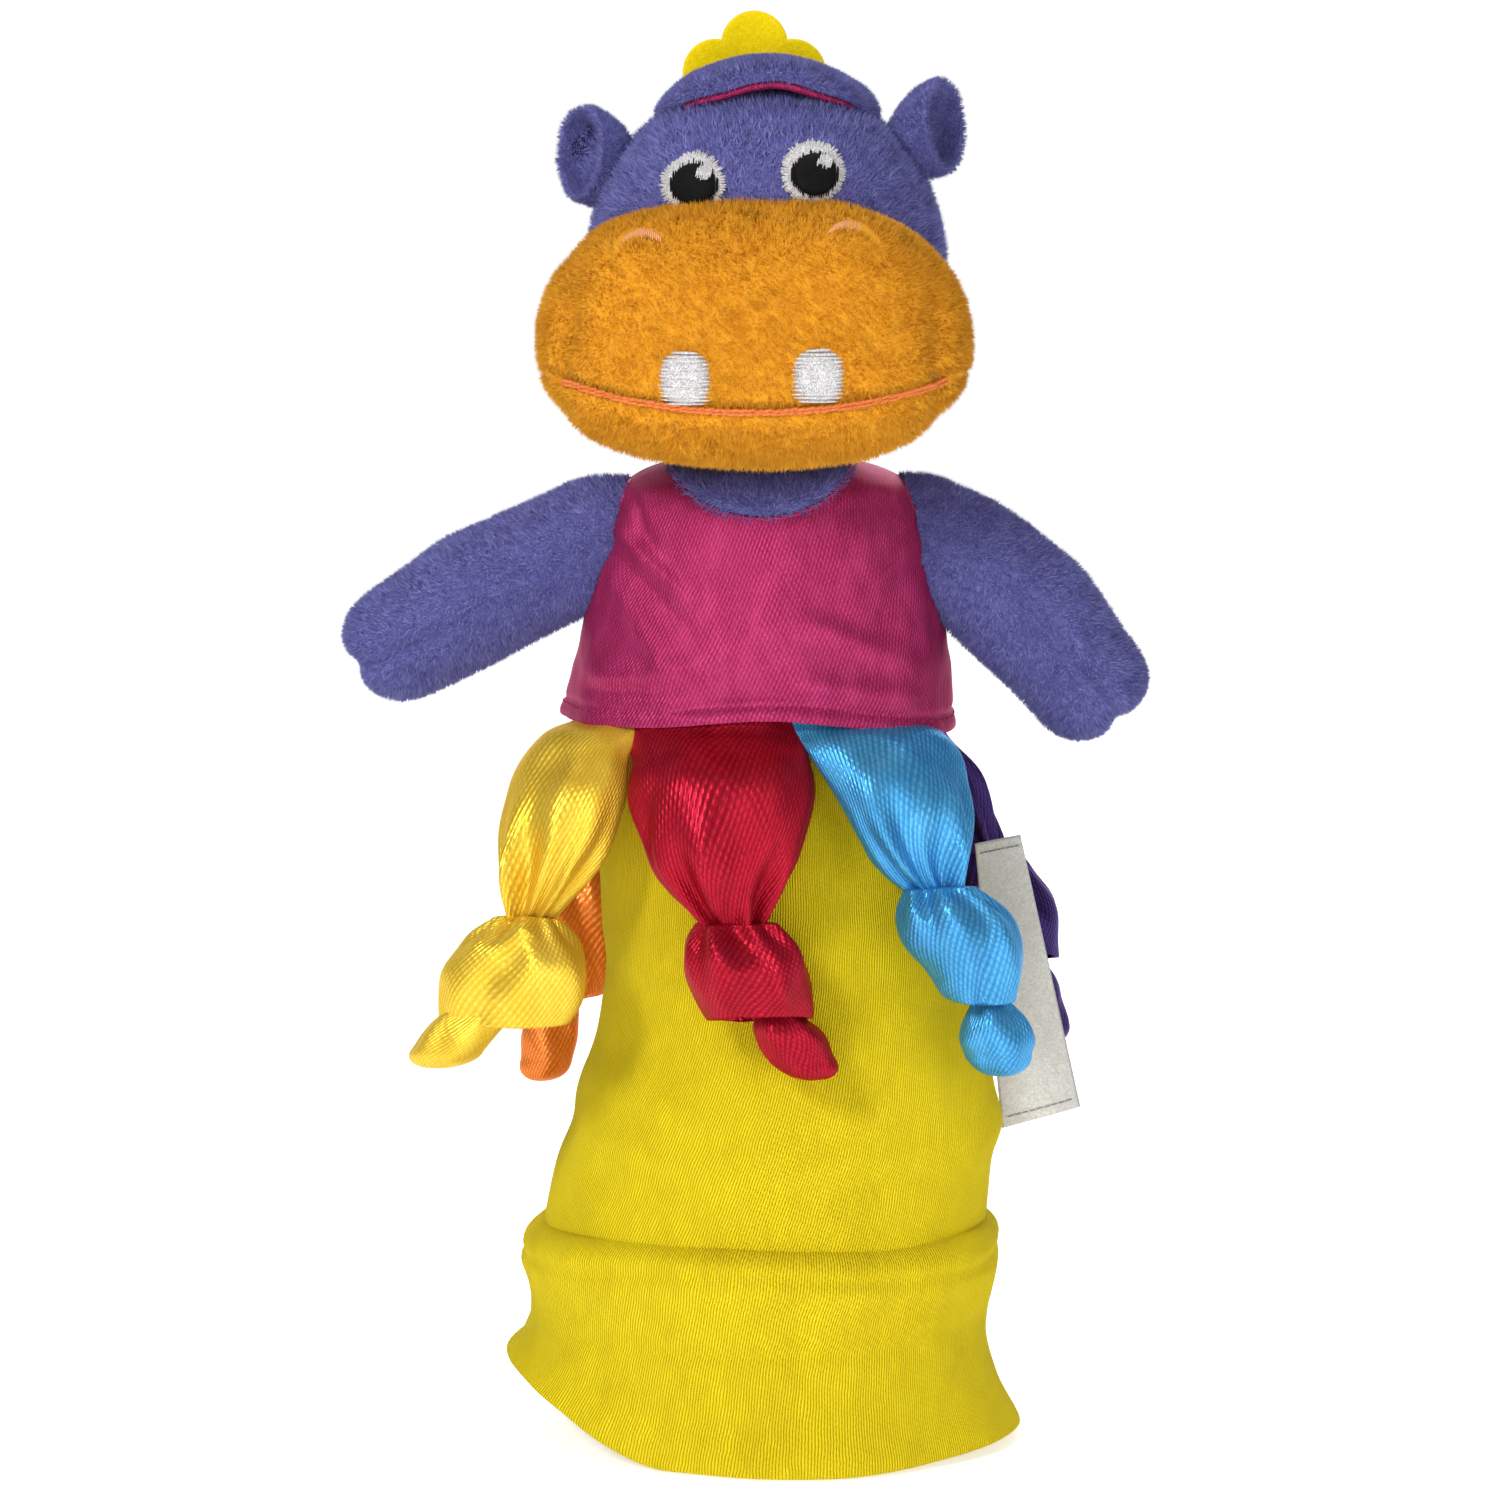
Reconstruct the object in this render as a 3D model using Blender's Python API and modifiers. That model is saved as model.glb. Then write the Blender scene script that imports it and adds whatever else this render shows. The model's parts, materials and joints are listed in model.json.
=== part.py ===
"""A hippo sock puppet: a knitted sleeve with a turned-up cuff, a plush upper body in a satin vest,
five knotted ribbons, two stuffed arms and a plush head with a finger pocket.

Metres, +Z up. The puppet faces -Y and +X is on a viewer's right. Sections are given in millimetres
through mm(), from the middle of the cuff's rim on the ground.
"""

import math

import bmesh
import bpy
from mathutils import Vector


def mm(*values):
    """A vector, or one length, turned from millimetres into metres."""
    if len(values) == 1:
        return values[0] * 0.001
    return Vector(values) * 0.001


# Where the middle of the cuff's rim stands, so that the whole puppet's box is centred on the origin.
CENTRE = mm(0.8, 5.4, 0)

# Fabrics
SEW_GAP = mm(0.4)
KNIT = mm(1.5)
CUFF_WALL = mm(2.2)
PLUSH = mm(2.0)
SATIN = mm(0.8)
THREAD = mm(0.6)

# Sleeve: (z, middle x, half width, half depth), in millimetres
CUFF_SECTIONS = (
    (0, 2.0, 54.0, 42.0),
    (4, 1.8, 52.4, 41.0),
    (11, 1.6, 50.0, 39.2),
    (22, 1.5, 47.6, 37.6),
    (33, 2.3, 48.9, 38.6),
    (40, 2.7, 49.6, 39.2),
    (43, 2.7, 48.6, 38.2),
)
CUFF_TURN = math.radians(-12)
SOCK_SECTIONS = (
    (70, 6.8, 43.8, 33.2),
    (80, 7.8, 41.0, 32.0),
    (95, 8.2, 38.6, 30.4),
    (110, 7.0, 38.0, 29.0),
    (124, 5.0, 36.4, 27.6),
    (140, 3.0, 34.4, 26.0),
    (157, 2.4, 32.4, 24.4),
)

# Wrist, where the sleeve bends: both walls are turned about the hinge, so they slide past each other
WRIST = mm(5.0, 0, 57.0)
WRIST_INNER = mm(42.6, 32.0)
WRIST_OUTER = mm(45.2, 34.6)

# Upper body: the vest's outer surface
VEST_SECTIONS = (
    (150.5, 1.8, 40.2, 30.0),
    (158, 2.2, 39.2, 29.4),
    (167, 2.7, 37.6, 28.2),
    (178, 3.2, 35.8, 26.4),
    (187, 3.4, 34.2, 24.6),
    (194, 3.4, 32.2, 22.4),
    (199, 3.2, 28.6, 20.0),
    (202, 3.1, 22.0, 16.6),
)
VEST_SEAM = mm(0.5)
NECKLINE = (mm(2.2), mm(207.0), mm(19.2), mm(14.4))
ARMHOLES = ((mm(-40.5), mm(202.0)), (mm(47.0), mm(202.0)))
ARMHOLE_RADII = mm(14.5, 17.0)

# Neck and head
NECK = mm(3.2, 0, 212.0)
NECK_RADIUS = mm(11.8)
NECK_SPAN = mm(194.0, 212.5)
HEAD = mm(3.5, 0, 242.0)
HEAD_RADII = mm(35.5, 33.0, 37.0)
HEAD_OPENING = mm(209.5)
POCKET_RADIUS = mm(8.6)
POCKET_WALL = mm(1.0)
POCKET_SPAN = mm(211.5, 246.0)
SNOUT = mm(1.3, -26.0, 230.0)
SNOUT_RADII = mm(43.0, 27.0, 27.4)
SNOUT_POWER = 2.35
MOUTH_Z = mm(215.5)
MOUTH_RISE = mm(5.5)
MOUTH_HALF = mm(37.5)
TEETH = (("left", mm(-12.6), mm(222.3)), ("right", mm(13.2), mm(222.8)))
TOOTH_RADII = mm(5.1, 5.4)
NOSTRILS = (("left", mm(-21.0), mm(249.6)), ("right", mm(20.4), mm(250.2)))
NOSTRIL_HALF = mm(4.4)
EYES = (("left", mm(-10.4), mm(259.6)), ("right", mm(12.9), mm(262.2)))
EYE_RADII = mm(6.7, 6.0)
PUPIL_RADII = mm(4.5, 4.5)
GLINT_RADII = mm(1.4, 1.4)
STUFFING_FLOOR = mm(215.5)
SNOUT_BACK = mm(-9.0)
EARS = (("left", mm(-33.8, 2.0, 265.5), 5), ("right", mm(39.7, 2.0, 270.0), -8))
EAR_RADII = mm(5.7, 4.4, 10.2)
EAR_HOLLOW = mm(3.2)
HAT_MIDDLE = mm(1.4, 1.6, 284.2)
HAT_RADIUS = mm(21.4)
HAT_DROOP = mm(5.6)
HAT_PILE = mm(3.0)
FLOWER_MIDDLE = mm(0.9, 25.4, 279.6)
FLOWER_PETALS = 5
FLOWER_RADIUS = mm(14.6)
FELT = mm(2.0)

# Arms: hinge, tip and half thickness along the way
SHOULDER_RADIUS = mm(11.4)
ARMS = (
    ("left", mm(-44.5, 0, 184.0), mm(-72.5, -5.0, 166.0)),
    ("right", mm(51.0, 0, 180.6), mm(71.0, -5.0, 158.5)),
)
ARM_DEPTH = 0.86

# Ribbons, from the hem to the tip: (x, y, z, half width, half depth), in millimetres
RIBBONS = {
    "yellow": (
        (-34, -18.5, 147.4, 10.6, 2.4), (-36, -22, 139, 11.6, 6.4), (-39, -26, 127, 10.0, 6.4),
        (-44.6, -29, 116, 6.4, 5.4), (-49, -30, 106, 10.4, 7.0), (-54, -30, 97, 11.0, 6.2),
        (-60.5, -30, 89, 6.0, 5.0), (-64, -29, 82, 4.2, 3.6),
    ),
    "red": (
        (-7.0, -29.0, 146.6, 17.4, 2.2), (-5.8, -34.8, 138, 18.6, 5.0), (-3.6, -38.4, 128, 12.6, 6.2),
        (-1.0, -39.2, 118.5, 7.4, 6.0), (1.4, -39.4, 108, 10.0, 7.2), (4.6, -39, 98, 9.4, 6.4),
        (9.0, -38.4, 91, 6.6, 5.2), (12.6, -37.6, 83.5, 4.4, 3.8),
    ),
    "blue": (
        (28.0, -23.6, 147.0, 13.8, 2.2), (31.2, -27.8, 138, 14.2, 5.4), (34.4, -31, 129, 10.6, 6.4),
        (37.0, -31.6, 121, 6.8, 6.0), (40.2, -31.6, 110, 8.2, 7.2), (44.2, -31, 99, 6.6, 5.8),
        (48.4, -30.4, 89, 7.2, 5.2), (51.6, -29.4, 82, 4.6, 3.8),
    ),
    "orange": (
        (-20, 28.0, 147.0, 15.4, 2.2), (-24.6, 32.4, 138, 14.6, 5.4), (-30, 34, 127, 10.2, 6.2),
        (-34, 33, 117, 6.2, 5.6), (-36, 32, 106, 8.4, 6.8), (-38.6, 30, 96, 7.6, 5.8),
        (-41.6, 27.6, 85, 5.8, 4.8), (-44.0, 25, 75, 3.8, 3.4),
    ),
    "purple": (
        (24.0, 27.4, 146.0, 14.6, 2.0), (31.4, 31.4, 138, 14.0, 5.4), (40.6, 33, 128, 10.0, 6.2),
        (47.6, 32, 118, 6.4, 5.6), (54, 30.6, 106, 8.4, 6.8), (57.6, 28.6, 96, 7.6, 5.8),
        (60.4, 26.4, 86, 5.8, 4.8), (62.4, 24, 78, 3.8, 3.4),
    ),
}

# Woven label, sewn into the sleeve's right side seam: its corners from the top of the seam round
LABEL_CORNERS = (mm(46.6, 123.0), mm(56.0, 125.0), mm(69.0, 67.5), mm(52.6, 63.0))
LABEL_Y = mm(3.0)
LABEL_THICKNESS = mm(0.9)

COLOURS = {
    "plush": (0.13, 0.13, 0.36, 1),
    "orange_plush": (0.75, 0.31, 0.018, 1),
    "satin": (0.48, 0.035, 0.14, 1),
    "knit": (0.86, 0.65, 0.015, 1),
    "felt": (0.89, 0.65, 0.005, 1),
    "white_thread": (0.78, 0.77, 0.76, 1),
    "black_thread": (0.02, 0.02, 0.022, 1),
    "salmon_thread": (0.74, 0.16, 0.04, 1),
    "wadding": (0.8, 0.8, 0.78, 1),
    "yellow": (0.80, 0.56, 0.05, 1),
    "red": (0.45, 0.02, 0.05, 1),
    "blue": (0.04, 0.23, 0.48, 1),
    "orange": (0.80, 0.22, 0.04, 1),
    "purple": (0.04, 0.02, 0.12, 1),
}
ROUGHNESS = {"satin": 0.38, "yellow": 0.35, "red": 0.35, "blue": 0.35, "orange": 0.35, "purple": 0.35}
FABRIC_ROUGHNESS = 0.9


def clear_scene():
    for thing in list(bpy.data.objects):
        bpy.data.objects.remove(thing, do_unlink=True)


def new_collection(name):
    group = bpy.data.collections.new(name)
    bpy.context.scene.collection.children.link(group)
    return group


clear_scene()
PARTS = new_collection("hippo_sock_puppet")
CUTTERS = new_collection("cutters")


def new_empty(name, place=Vector(), parent=None):
    """An empty on a joint's axis, which carries the pieces that turn about it."""
    empty = bpy.data.objects.new(name, None)
    PARTS.objects.link(empty)
    empty.empty_display_size = 0.02
    empty.parent = parent
    empty.location = place - (origin_of(parent) if parent else Vector())
    return empty


def origin_of(thing):
    """Where an empty stands in the puppet's own frame, before the whole is centred."""
    place = Vector()
    while thing is not None and thing != PUPPET:
        place += thing.location
        thing = thing.parent
    return place


PUPPET = None
PUPPET = new_empty("puppet", CENTRE)


def finish_of(name):
    """The Principled material for one piece."""
    material = bpy.data.materials.new(name)
    material.use_nodes = True
    shader = material.node_tree.nodes["Principled BSDF"]
    return material, shader


def new_object(name, mesh, colour, parent):
    """Links a piece whose mesh is in the puppet's frame and hangs it from its parent empty."""
    material, shader = finish_of(name)
    shader.inputs["Base Color"].default_value = COLOURS[colour]
    shader.inputs["Roughness"].default_value = ROUGHNESS.get(colour, FABRIC_ROUGHNESS)
    shader.inputs["Metallic"].default_value = 0
    mesh.materials.append(material)
    mesh.shade_smooth()
    piece = bpy.data.objects.new(name, mesh)
    PARTS.objects.link(piece)
    piece.parent = parent
    place = origin_of(parent)
    for vertex in mesh.vertices:
        vertex.co -= place
    return piece


def new_cutter(name, mesh):
    cutter = bpy.data.objects.new(name, mesh)
    CUTTERS.objects.link(cutter)
    cutter.parent = PUPPET
    cutter.hide_render = True
    cutter.display_type = "WIRE"
    return cutter


def mesh_of(work, name):
    mesh = bpy.data.meshes.new(name)
    work.to_mesh(mesh)
    work.free()
    return mesh


def ring(middle, across, along, half_across, half_along, count):
    """Points of an ellipse around middle; across x along points the way that the rings travel."""
    turns = [2 * math.pi * i / count for i in range(count)]
    return [
        middle + across * (half_across * math.cos(t)) + along * (half_along * math.sin(t))
        for t in turns
    ]


def level_ring(z, x, half_width, half_depth, count=26, turn=0.0, inset=0.0):
    across = Vector((math.cos(turn), math.sin(turn), 0))
    along = Vector((-math.sin(turn), math.cos(turn), 0))
    middle = Vector((x, 0, z))
    return ring(middle, across, along, half_width - inset, half_depth - inset, count)


def skin(name, rings, ends=True, loop=False):
    """A surface through the rings: closed at both ends, open, or closed back on itself as a wall."""
    work = bmesh.new()
    rows = [[work.verts.new(point) for point in points] for points in rings]
    pairs = list(zip(rows, rows[1:])) + ([(rows[-1], rows[0])] if loop else [])
    for low, high in pairs:
        for i in range(len(low)):
            j = (i + 1) % len(low)
            work.faces.new((low[i], low[j], high[j], high[i]))
    if ends and not loop:
        work.faces.new(list(reversed(rows[0])))
        work.faces.new(rows[-1])
    return mesh_of(work, name)


def add_solidify(piece, thickness):
    wall = piece.modifiers.new("Wall", "SOLIDIFY")
    wall.thickness = thickness
    wall.offset = -1
    wall.use_even_offset = True


def add_cut(piece, cutter, operation="DIFFERENCE"):
    cut = piece.modifiers.new("Cut", "BOOLEAN")
    cut.object = cutter
    cut.operation = operation
    cut.solver = "EXACT"


def between(sections, z):
    """The section at height z, eased between the listed ones."""
    for low, high in zip(sections, sections[1:]):
        if z <= high[0]:
            break
    share = min(max((z - low[0]) / (high[0] - low[0]), 0), 1)
    return [a + (b - a) * share for a, b in zip(low, high)]


def wrist_ring(radii, height, inset=0.0, count=26):
    """A level ring of the wall that is turned about the wrist hinge, at a height above the hinge."""
    share = math.sqrt(1 - (height / radii.y) ** 2)
    return level_ring(
        WRIST.z + height, WRIST.x, radii.x * share, radii.y * share, count, 0.0, inset
    )


def make_cuff(parent):
    """The turned-up cuff: a wall whose rim is flat on the ground and whose top is rounded."""
    outer = [
        level_ring(mm(z), mm(x), mm(a), mm(b), 30, CUFF_TURN * (1 - z / 60))
        for z, x, a, b in CUFF_SECTIONS
    ]
    inner = [
        level_ring(mm(z), mm(x), mm(a), mm(b), 30, CUFF_TURN * (1 - z / 60), CUFF_WALL)
        for z, x, a, b in reversed(CUFF_SECTIONS[:-1])
    ]
    top = CUFF_SECTIONS[-1]
    crest = level_ring(
        mm(top[0] + 0.8), mm(top[1]), mm(top[2]), mm(top[3]), 30, CUFF_TURN * 0.28, CUFF_WALL * 0.6
    )
    mesh = skin("sock_cuff", outer + [crest] + inner, loop=True)
    return new_object("sock_cuff", mesh, "knit", parent)


def make_sock_lower(parent):
    """The sleeve's layer inside the cuff, up to the wrist."""
    inset = CUFF_WALL + mm(0.6)
    rings = []
    for z in (2, 11, 22, 33, 38):
        _, x, a, b = between(CUFF_SECTIONS, z)
        rings.append(level_ring(mm(z), mm(x), mm(a), mm(b), 26, CUFF_TURN * (1 - z / 60), inset))
    rings += [wrist_ring(WRIST_INNER, mm(height)) for height in (-13, -6, 0, 6)]
    piece = new_object("sock_lower", skin("sock_lower", rings, ends=False), "knit", parent)
    add_solidify(piece, KNIT)
    return piece


def make_sock_upper(parent):
    """The sleeve from the wrist to inside the upper body."""
    rings = [wrist_ring(WRIST_OUTER, mm(height)) for height in (-4, 0)]
    rings += [level_ring(mm(z), mm(x), mm(a), mm(b)) for z, x, a, b in SOCK_SECTIONS]
    piece = new_object("sock_upper", skin("sock_upper", rings, ends=False), "knit", parent)
    add_solidify(piece, KNIT)
    return piece


def vest_rings(inset, count):
    """The upper body's rings, moved inwards along the surface by inset."""
    rings = []
    last = len(VEST_SECTIONS) - 1
    for i, (z, x, a, b) in enumerate(VEST_SECTIONS):
        below, above = VEST_SECTIONS[max(i - 1, 0)], VEST_SECTIONS[min(i + 1, last)]
        rise, shrink = above[0] - below[0], below[2] - above[2]
        slope = math.hypot(rise, shrink)
        height = mm(z) - inset * shrink / slope
        rings.append(level_ring(height, mm(x), mm(a), mm(b), count, 0.0, inset * rise / slope))
    return rings


def make_torso(parent):
    """The plush body under the vest, open at the hem and at the neck."""
    rings = vest_rings(SATIN + SEW_GAP, 28)
    piece = new_object("torso_plush", skin("torso_plush", rings, ends=False), "plush", parent)
    add_solidify(piece, PLUSH)
    return piece


def cylinder_cutter(name, middle, half_x, half_z, y_from, y_to, count=28):
    """An elliptical rod along Y."""
    across, along = Vector((1, 0, 0)), Vector((0, 0, -1))
    rings = [
        ring(Vector((middle[0], y, middle[1])), across, along, half_x, half_z, count)
        for y in (y_from, y_to)
    ]
    return new_cutter(name, skin(name, rings))


def box_cutter(name, low, high):
    work = bmesh.new()
    bmesh.ops.create_cube(work, size=1)
    for vertex in work.verts:
        share = vertex.co + Vector((0.5, 0.5, 0.5))
        vertex.co = Vector([low[i] + (high[i] - low[i]) * share[i] for i in range(3)])
    return new_cutter(name, mesh_of(work, name))


def make_vest(parent):
    """Front and back satin panels, cut round the neck and the armholes and parted at the side seams."""
    reach = mm(70)
    halves = (
        ("vest_front", (-reach, -VEST_SEAM / 2, 0), (reach, reach, mm(300))),
        ("vest_back", (-reach, -reach, 0), (reach, VEST_SEAM / 2, mm(300))),
    )
    holes = [
        cylinder_cutter(f"armhole_{i}", place, ARMHOLE_RADII.x, ARMHOLE_RADII.y, -reach, reach)
        for i, place in enumerate(ARMHOLES)
    ]
    x, z, half_x, half_z = NECKLINE
    scoop = cylinder_cutter("neckline", (x, z), half_x, half_z, -reach, reach)
    for name, low, high in halves:
        piece = new_object(name, skin(name, vest_rings(0.0, 36), ends=False), "satin", parent)
        add_solidify(piece, SATIN)
        add_cut(piece, box_cutter(f"{name}_side", low, high))
        for cutter in holes + [scoop]:
            add_cut(piece, cutter)


def make_neck(parent):
    rings = [level_ring(z, NECK.x, NECK_RADIUS, NECK_RADIUS, 28) for z in NECK_SPAN]
    piece = new_object("neck_plush", skin("neck_plush", rings, ends=False), "plush", parent)
    add_solidify(piece, PLUSH * 0.8)
    return piece


def form(middle, radii, power, grow=0.0, around=24, rows=14):
    """A ball swollen towards a box by power, in its final place."""
    work = bmesh.new()
    bmesh.ops.create_uvsphere(work, u_segments=around, v_segments=rows, radius=1)
    for vertex in work.verts:
        size = sum(abs(c) ** power for c in vertex.co) ** (-1 / power)
        vertex.co = Vector([m + c * size * (r + grow) for m, c, r in zip(middle, vertex.co, radii)])
    return work


def head_form(name, grow, **shape):
    return mesh_of(form(HEAD, HEAD_RADII, 2.0, grow, **shape), name)


def snout_form(name, grow, **shape):
    return mesh_of(form(SNOUT, SNOUT_RADII, SNOUT_POWER, grow, **shape), name)


def front_y(middle, radii, power, x, z, grow=0.0):
    """How far forward the form's surface is at a given x and z."""
    used = (abs(x - middle.x) / (radii.x + grow)) ** power + (abs(z - middle.z) / (radii.z + grow)) ** power
    return middle.y - (radii.y + grow) * max(1 - used, 0.0) ** (1 / power)


def open_below(work, z):
    geometry = work.verts[:] + work.edges[:] + work.faces[:]
    bmesh.ops.bisect_plane(work, geom=geometry, plane_co=(0, 0, z), plane_no=(0, 0, -1), clear_outer=True)


def make_head(parent):
    """The plush skull, open at the neck, its wadding and the finger pocket inside."""
    work = form(HEAD, HEAD_RADII, 2.0, 0.0)
    open_below(work, HEAD_OPENING)
    cover = new_object("head_cover", mesh_of(work, "head_cover"), "plush", parent)
    add_solidify(cover, PLUSH)

    work = form(HEAD, HEAD_RADII, 2.0, -PLUSH - SEW_GAP * 1.5, around=18, rows=10)
    open_below(work, STUFFING_FLOOR)
    bmesh.ops.holes_fill(work, edges=work.edges)
    stuffing = new_object("head_stuffing", mesh_of(work, "head_stuffing"), "wadding", parent)
    rings = [
        level_ring(z, NECK.x, POCKET_RADIUS + SEW_GAP, POCKET_RADIUS + SEW_GAP, 24)
        for z in (HEAD_OPENING, POCKET_SPAN[1] + SEW_GAP * 2)
    ]
    add_cut(stuffing, new_cutter("pocket_room", skin("pocket_room", rings)))

    low, high = POCKET_SPAN
    outside = [(low, 1.0), (high - mm(5), 1.0), (high - mm(1.4), 0.8), (high, 0.4)]
    rings = [level_ring(z, NECK.x, POCKET_RADIUS * k, POCKET_RADIUS * k, 24) for z, k in outside]
    pocket = skin("finger_pocket", rings, ends=False)
    work = bmesh.new()
    work.from_mesh(pocket)
    work.verts.ensure_lookup_table()
    work.faces.new(work.verts[-24:])
    pocket = new_object("finger_pocket", mesh_of(work, "finger_pocket"), "wadding", parent)
    add_solidify(pocket, POCKET_WALL)


def mouth_z(x):
    return MOUTH_Z + MOUTH_RISE * ((x - SNOUT.x) / MOUTH_HALF) ** 2


def mouth_cutter(name, gap, far_z):
    """A block whose one face is the mouth's curve, carried through in Y."""
    reach = mm(70)
    steps = [SNOUT.x + reach * (i / 8 - 1) for i in range(17)]
    work = bmesh.new()
    rows = []
    for y in (-reach, reach):
        row = [work.verts.new((x, y, mouth_z(x) + gap)) for x in steps]
        row += [work.verts.new((x, y, far_z)) for x in reversed(steps)]
        rows.append(row)
    count = len(rows[0])
    for i in range(count):
        j = (i + 1) % count
        work.faces.new((rows[0][i], rows[0][j], rows[1][j], rows[1][i]))
    for i in range(len(steps) - 1):
        k = count - 1 - i
        for row in rows:
            work.faces.new((row[i], row[i + 1], row[k - 1], row[k]))
    bmesh.ops.recalc_face_normals(work, faces=work.faces)
    return new_cutter(name, mesh_of(work, name))


def make_snout(parent):
    """Upper and chin panels, parted along the mouth, over one wadding."""
    skull = new_cutter("snout_seat", head_form("snout_seat", SEW_GAP))
    reach = mm(70)
    behind = box_cutter("behind_snout", (-reach, SNOUT_BACK, mm(180)), (reach, reach, mm(300)))
    room = NECK_RADIUS + mm(5)
    rings = [level_ring(z, NECK.x, room, room) for z in (mm(190), mm(218))]
    throat = new_cutter("throat", skin("throat", rings))
    hollow = new_cutter("snout_hollow", snout_form("snout_hollow", -PLUSH))
    halves = (
        ("snout_upper", mouth_cutter("below_mouth", 0.0, mm(150))),
        ("snout_chin", mouth_cutter("above_mouth", -SEW_GAP, mm(320))),
    )
    for name, cutter in halves:
        piece = new_object(name, snout_form(name, 0.0), "orange_plush", parent)
        for tool in (skull, behind, throat, hollow, cutter):
            add_cut(piece, tool)
    mesh = snout_form("snout_stuffing", -PLUSH - SEW_GAP * 1.5, around=18, rows=10)
    stuffing = new_object("snout_stuffing", mesh, "wadding", parent)
    for tool in (skull, behind, throat):
        add_cut(stuffing, tool)


def thread_line(name, points, radius, colour, parent):
    """A round line of stitching through the points."""
    curve = bpy.data.curves.new(name, "CURVE")
    curve.dimensions = "3D"
    curve.bevel_depth = radius
    curve.bevel_resolution = 1
    curve.use_fill_caps = True
    spline = curve.splines.new("POLY")
    spline.points.add(len(points) - 1)
    for spot, point in zip(spline.points, points):
        spot.co = (*(point - origin_of(parent)), 1)
    material, shader = finish_of(name)
    shader.inputs["Base Color"].default_value = COLOURS[colour]
    shader.inputs["Roughness"].default_value = FABRIC_ROUGHNESS
    curve.materials.append(material)
    piece = bpy.data.objects.new(name, curve)
    PARTS.objects.link(piece)
    piece.parent = parent
    return piece


def on_snout(x, z, lift):
    return Vector((x, front_y(SNOUT, SNOUT_RADII, SNOUT_POWER, x, z, lift), z))


def patch(name, surface, middle, radii, lift, thickness, colour, parent, power=2.0):
    """A thin stitched patch that follows a surface, from rings of points around its middle."""
    count, rows = 14, 2
    work = bmesh.new()
    centre = work.verts.new((middle[0], surface(middle[0], middle[1], lift), middle[1]))
    rings = []
    for row in range(1, rows + 1):
        points = []
        for i in range(count):
            turn = 2 * math.pi * i / count
            c, s = math.cos(turn), math.sin(turn)
            size = (abs(c) ** power + abs(s) ** power) ** (-1 / power) * row / rows
            x, z = middle[0] + radii.x * c * size, middle[1] + radii.y * s * size
            points.append(work.verts.new((x, surface(x, z, lift), z)))
        rings.append(points)
    for i in range(count):
        j = (i + 1) % count
        work.faces.new((centre, rings[0][i], rings[0][j]))
        for low, high in zip(rings, rings[1:]):
            work.faces.new((low[i], high[i], high[j], low[j]))
    piece = new_object(name, mesh_of(work, name), colour, parent)
    wall = piece.modifiers.new("Wall", "SOLIDIFY")
    wall.thickness = thickness
    wall.offset = 1
    return piece


def make_stitching(parent):
    """Eyes, teeth, nostrils and the mouth line, each lying on the plush."""

    def head_y(x, z, lift):
        return front_y(HEAD, HEAD_RADII, 2.0, x, z, lift)

    def snout_y(x, z, lift):
        return front_y(SNOUT, SNOUT_RADII, SNOUT_POWER, x, z, lift)

    snout_room = new_cutter("snout_room", snout_form("snout_room", SEW_GAP))
    layers = (
        ("eye_white", EYE_RADII, Vector((0, 0, 0)), "white_thread", 0),
        ("pupil", PUPIL_RADII, mm(0.4, 0, -0.6), "black_thread", 1),
        ("eye_glint", GLINT_RADII, mm(2.2, 0, 1.6), "white_thread", 2),
    )
    for side, x, z in EYES:
        for name, radii, shift, colour, level in layers:
            lift = SEW_GAP + level * (THREAD + SEW_GAP)
            middle = (x + shift.x, z + shift.z)
            piece = patch(f"{name}_{side}", head_y, middle, radii, lift, THREAD, colour, parent)
            if level < 2:
                add_cut(piece, snout_room)
    for side, x, z in TEETH:
        patch(f"tooth_{side}", snout_y, (x, z), TOOTH_RADII, SEW_GAP, mm(1.0), "white_thread", parent, 3.2)
    for side, x, z in NOSTRILS:
        shares = [i / 4 - 1 for i in range(9)]
        points = [
            on_snout(x + NOSTRIL_HALF * s, z + mm(1.5) * (1 - s * s), mm(1.1)) for s in shares
        ]
        thread_line(f"nostril_{side}", points, THREAD, "salmon_thread", parent)
    shares = [i / 9 - 1 for i in range(19)]
    lip = [SNOUT.x + MOUTH_HALF * s for s in shares]
    points = [on_snout(x, mouth_z(x) - SEW_GAP / 2, mm(1.0)) for x in lip]
    thread_line("mouth_stitch", points, mm(0.5), "salmon_thread", parent)


def make_ear(side, middle, lean, parent):
    """A plush cup, hollow towards the front."""
    name = f"ear_{side}"
    work = form(Vector(), EAR_RADII, 2.0, 0.0, around=16, rows=10)
    for vertex in work.verts:
        across = (vertex.co.x / EAR_RADII.x) ** 2 + (vertex.co.z / EAR_RADII.z) ** 2
        if vertex.co.y < 0:
            vertex.co.y += EAR_HOLLOW * max(1 - across * 1.4, 0)
    turn = math.radians(lean)
    for vertex in work.verts:
        x, y, z = vertex.co
        vertex.co = middle + Vector(
            (x * math.cos(turn) - z * math.sin(turn), y, x * math.sin(turn) + z * math.cos(turn))
        )
    return new_object(name, mesh_of(work, name), "plush", parent)


def drape(x, y):
    """How far the hat's disc hangs below its middle."""
    across = ((x - HAT_MIDDLE.x) / HAT_RADIUS) ** 2
    along = ((y - HAT_MIDDLE.y) / HAT_RADIUS) ** 2
    return HAT_DROOP * across + HAT_DROOP * 0.6 * along


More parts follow.
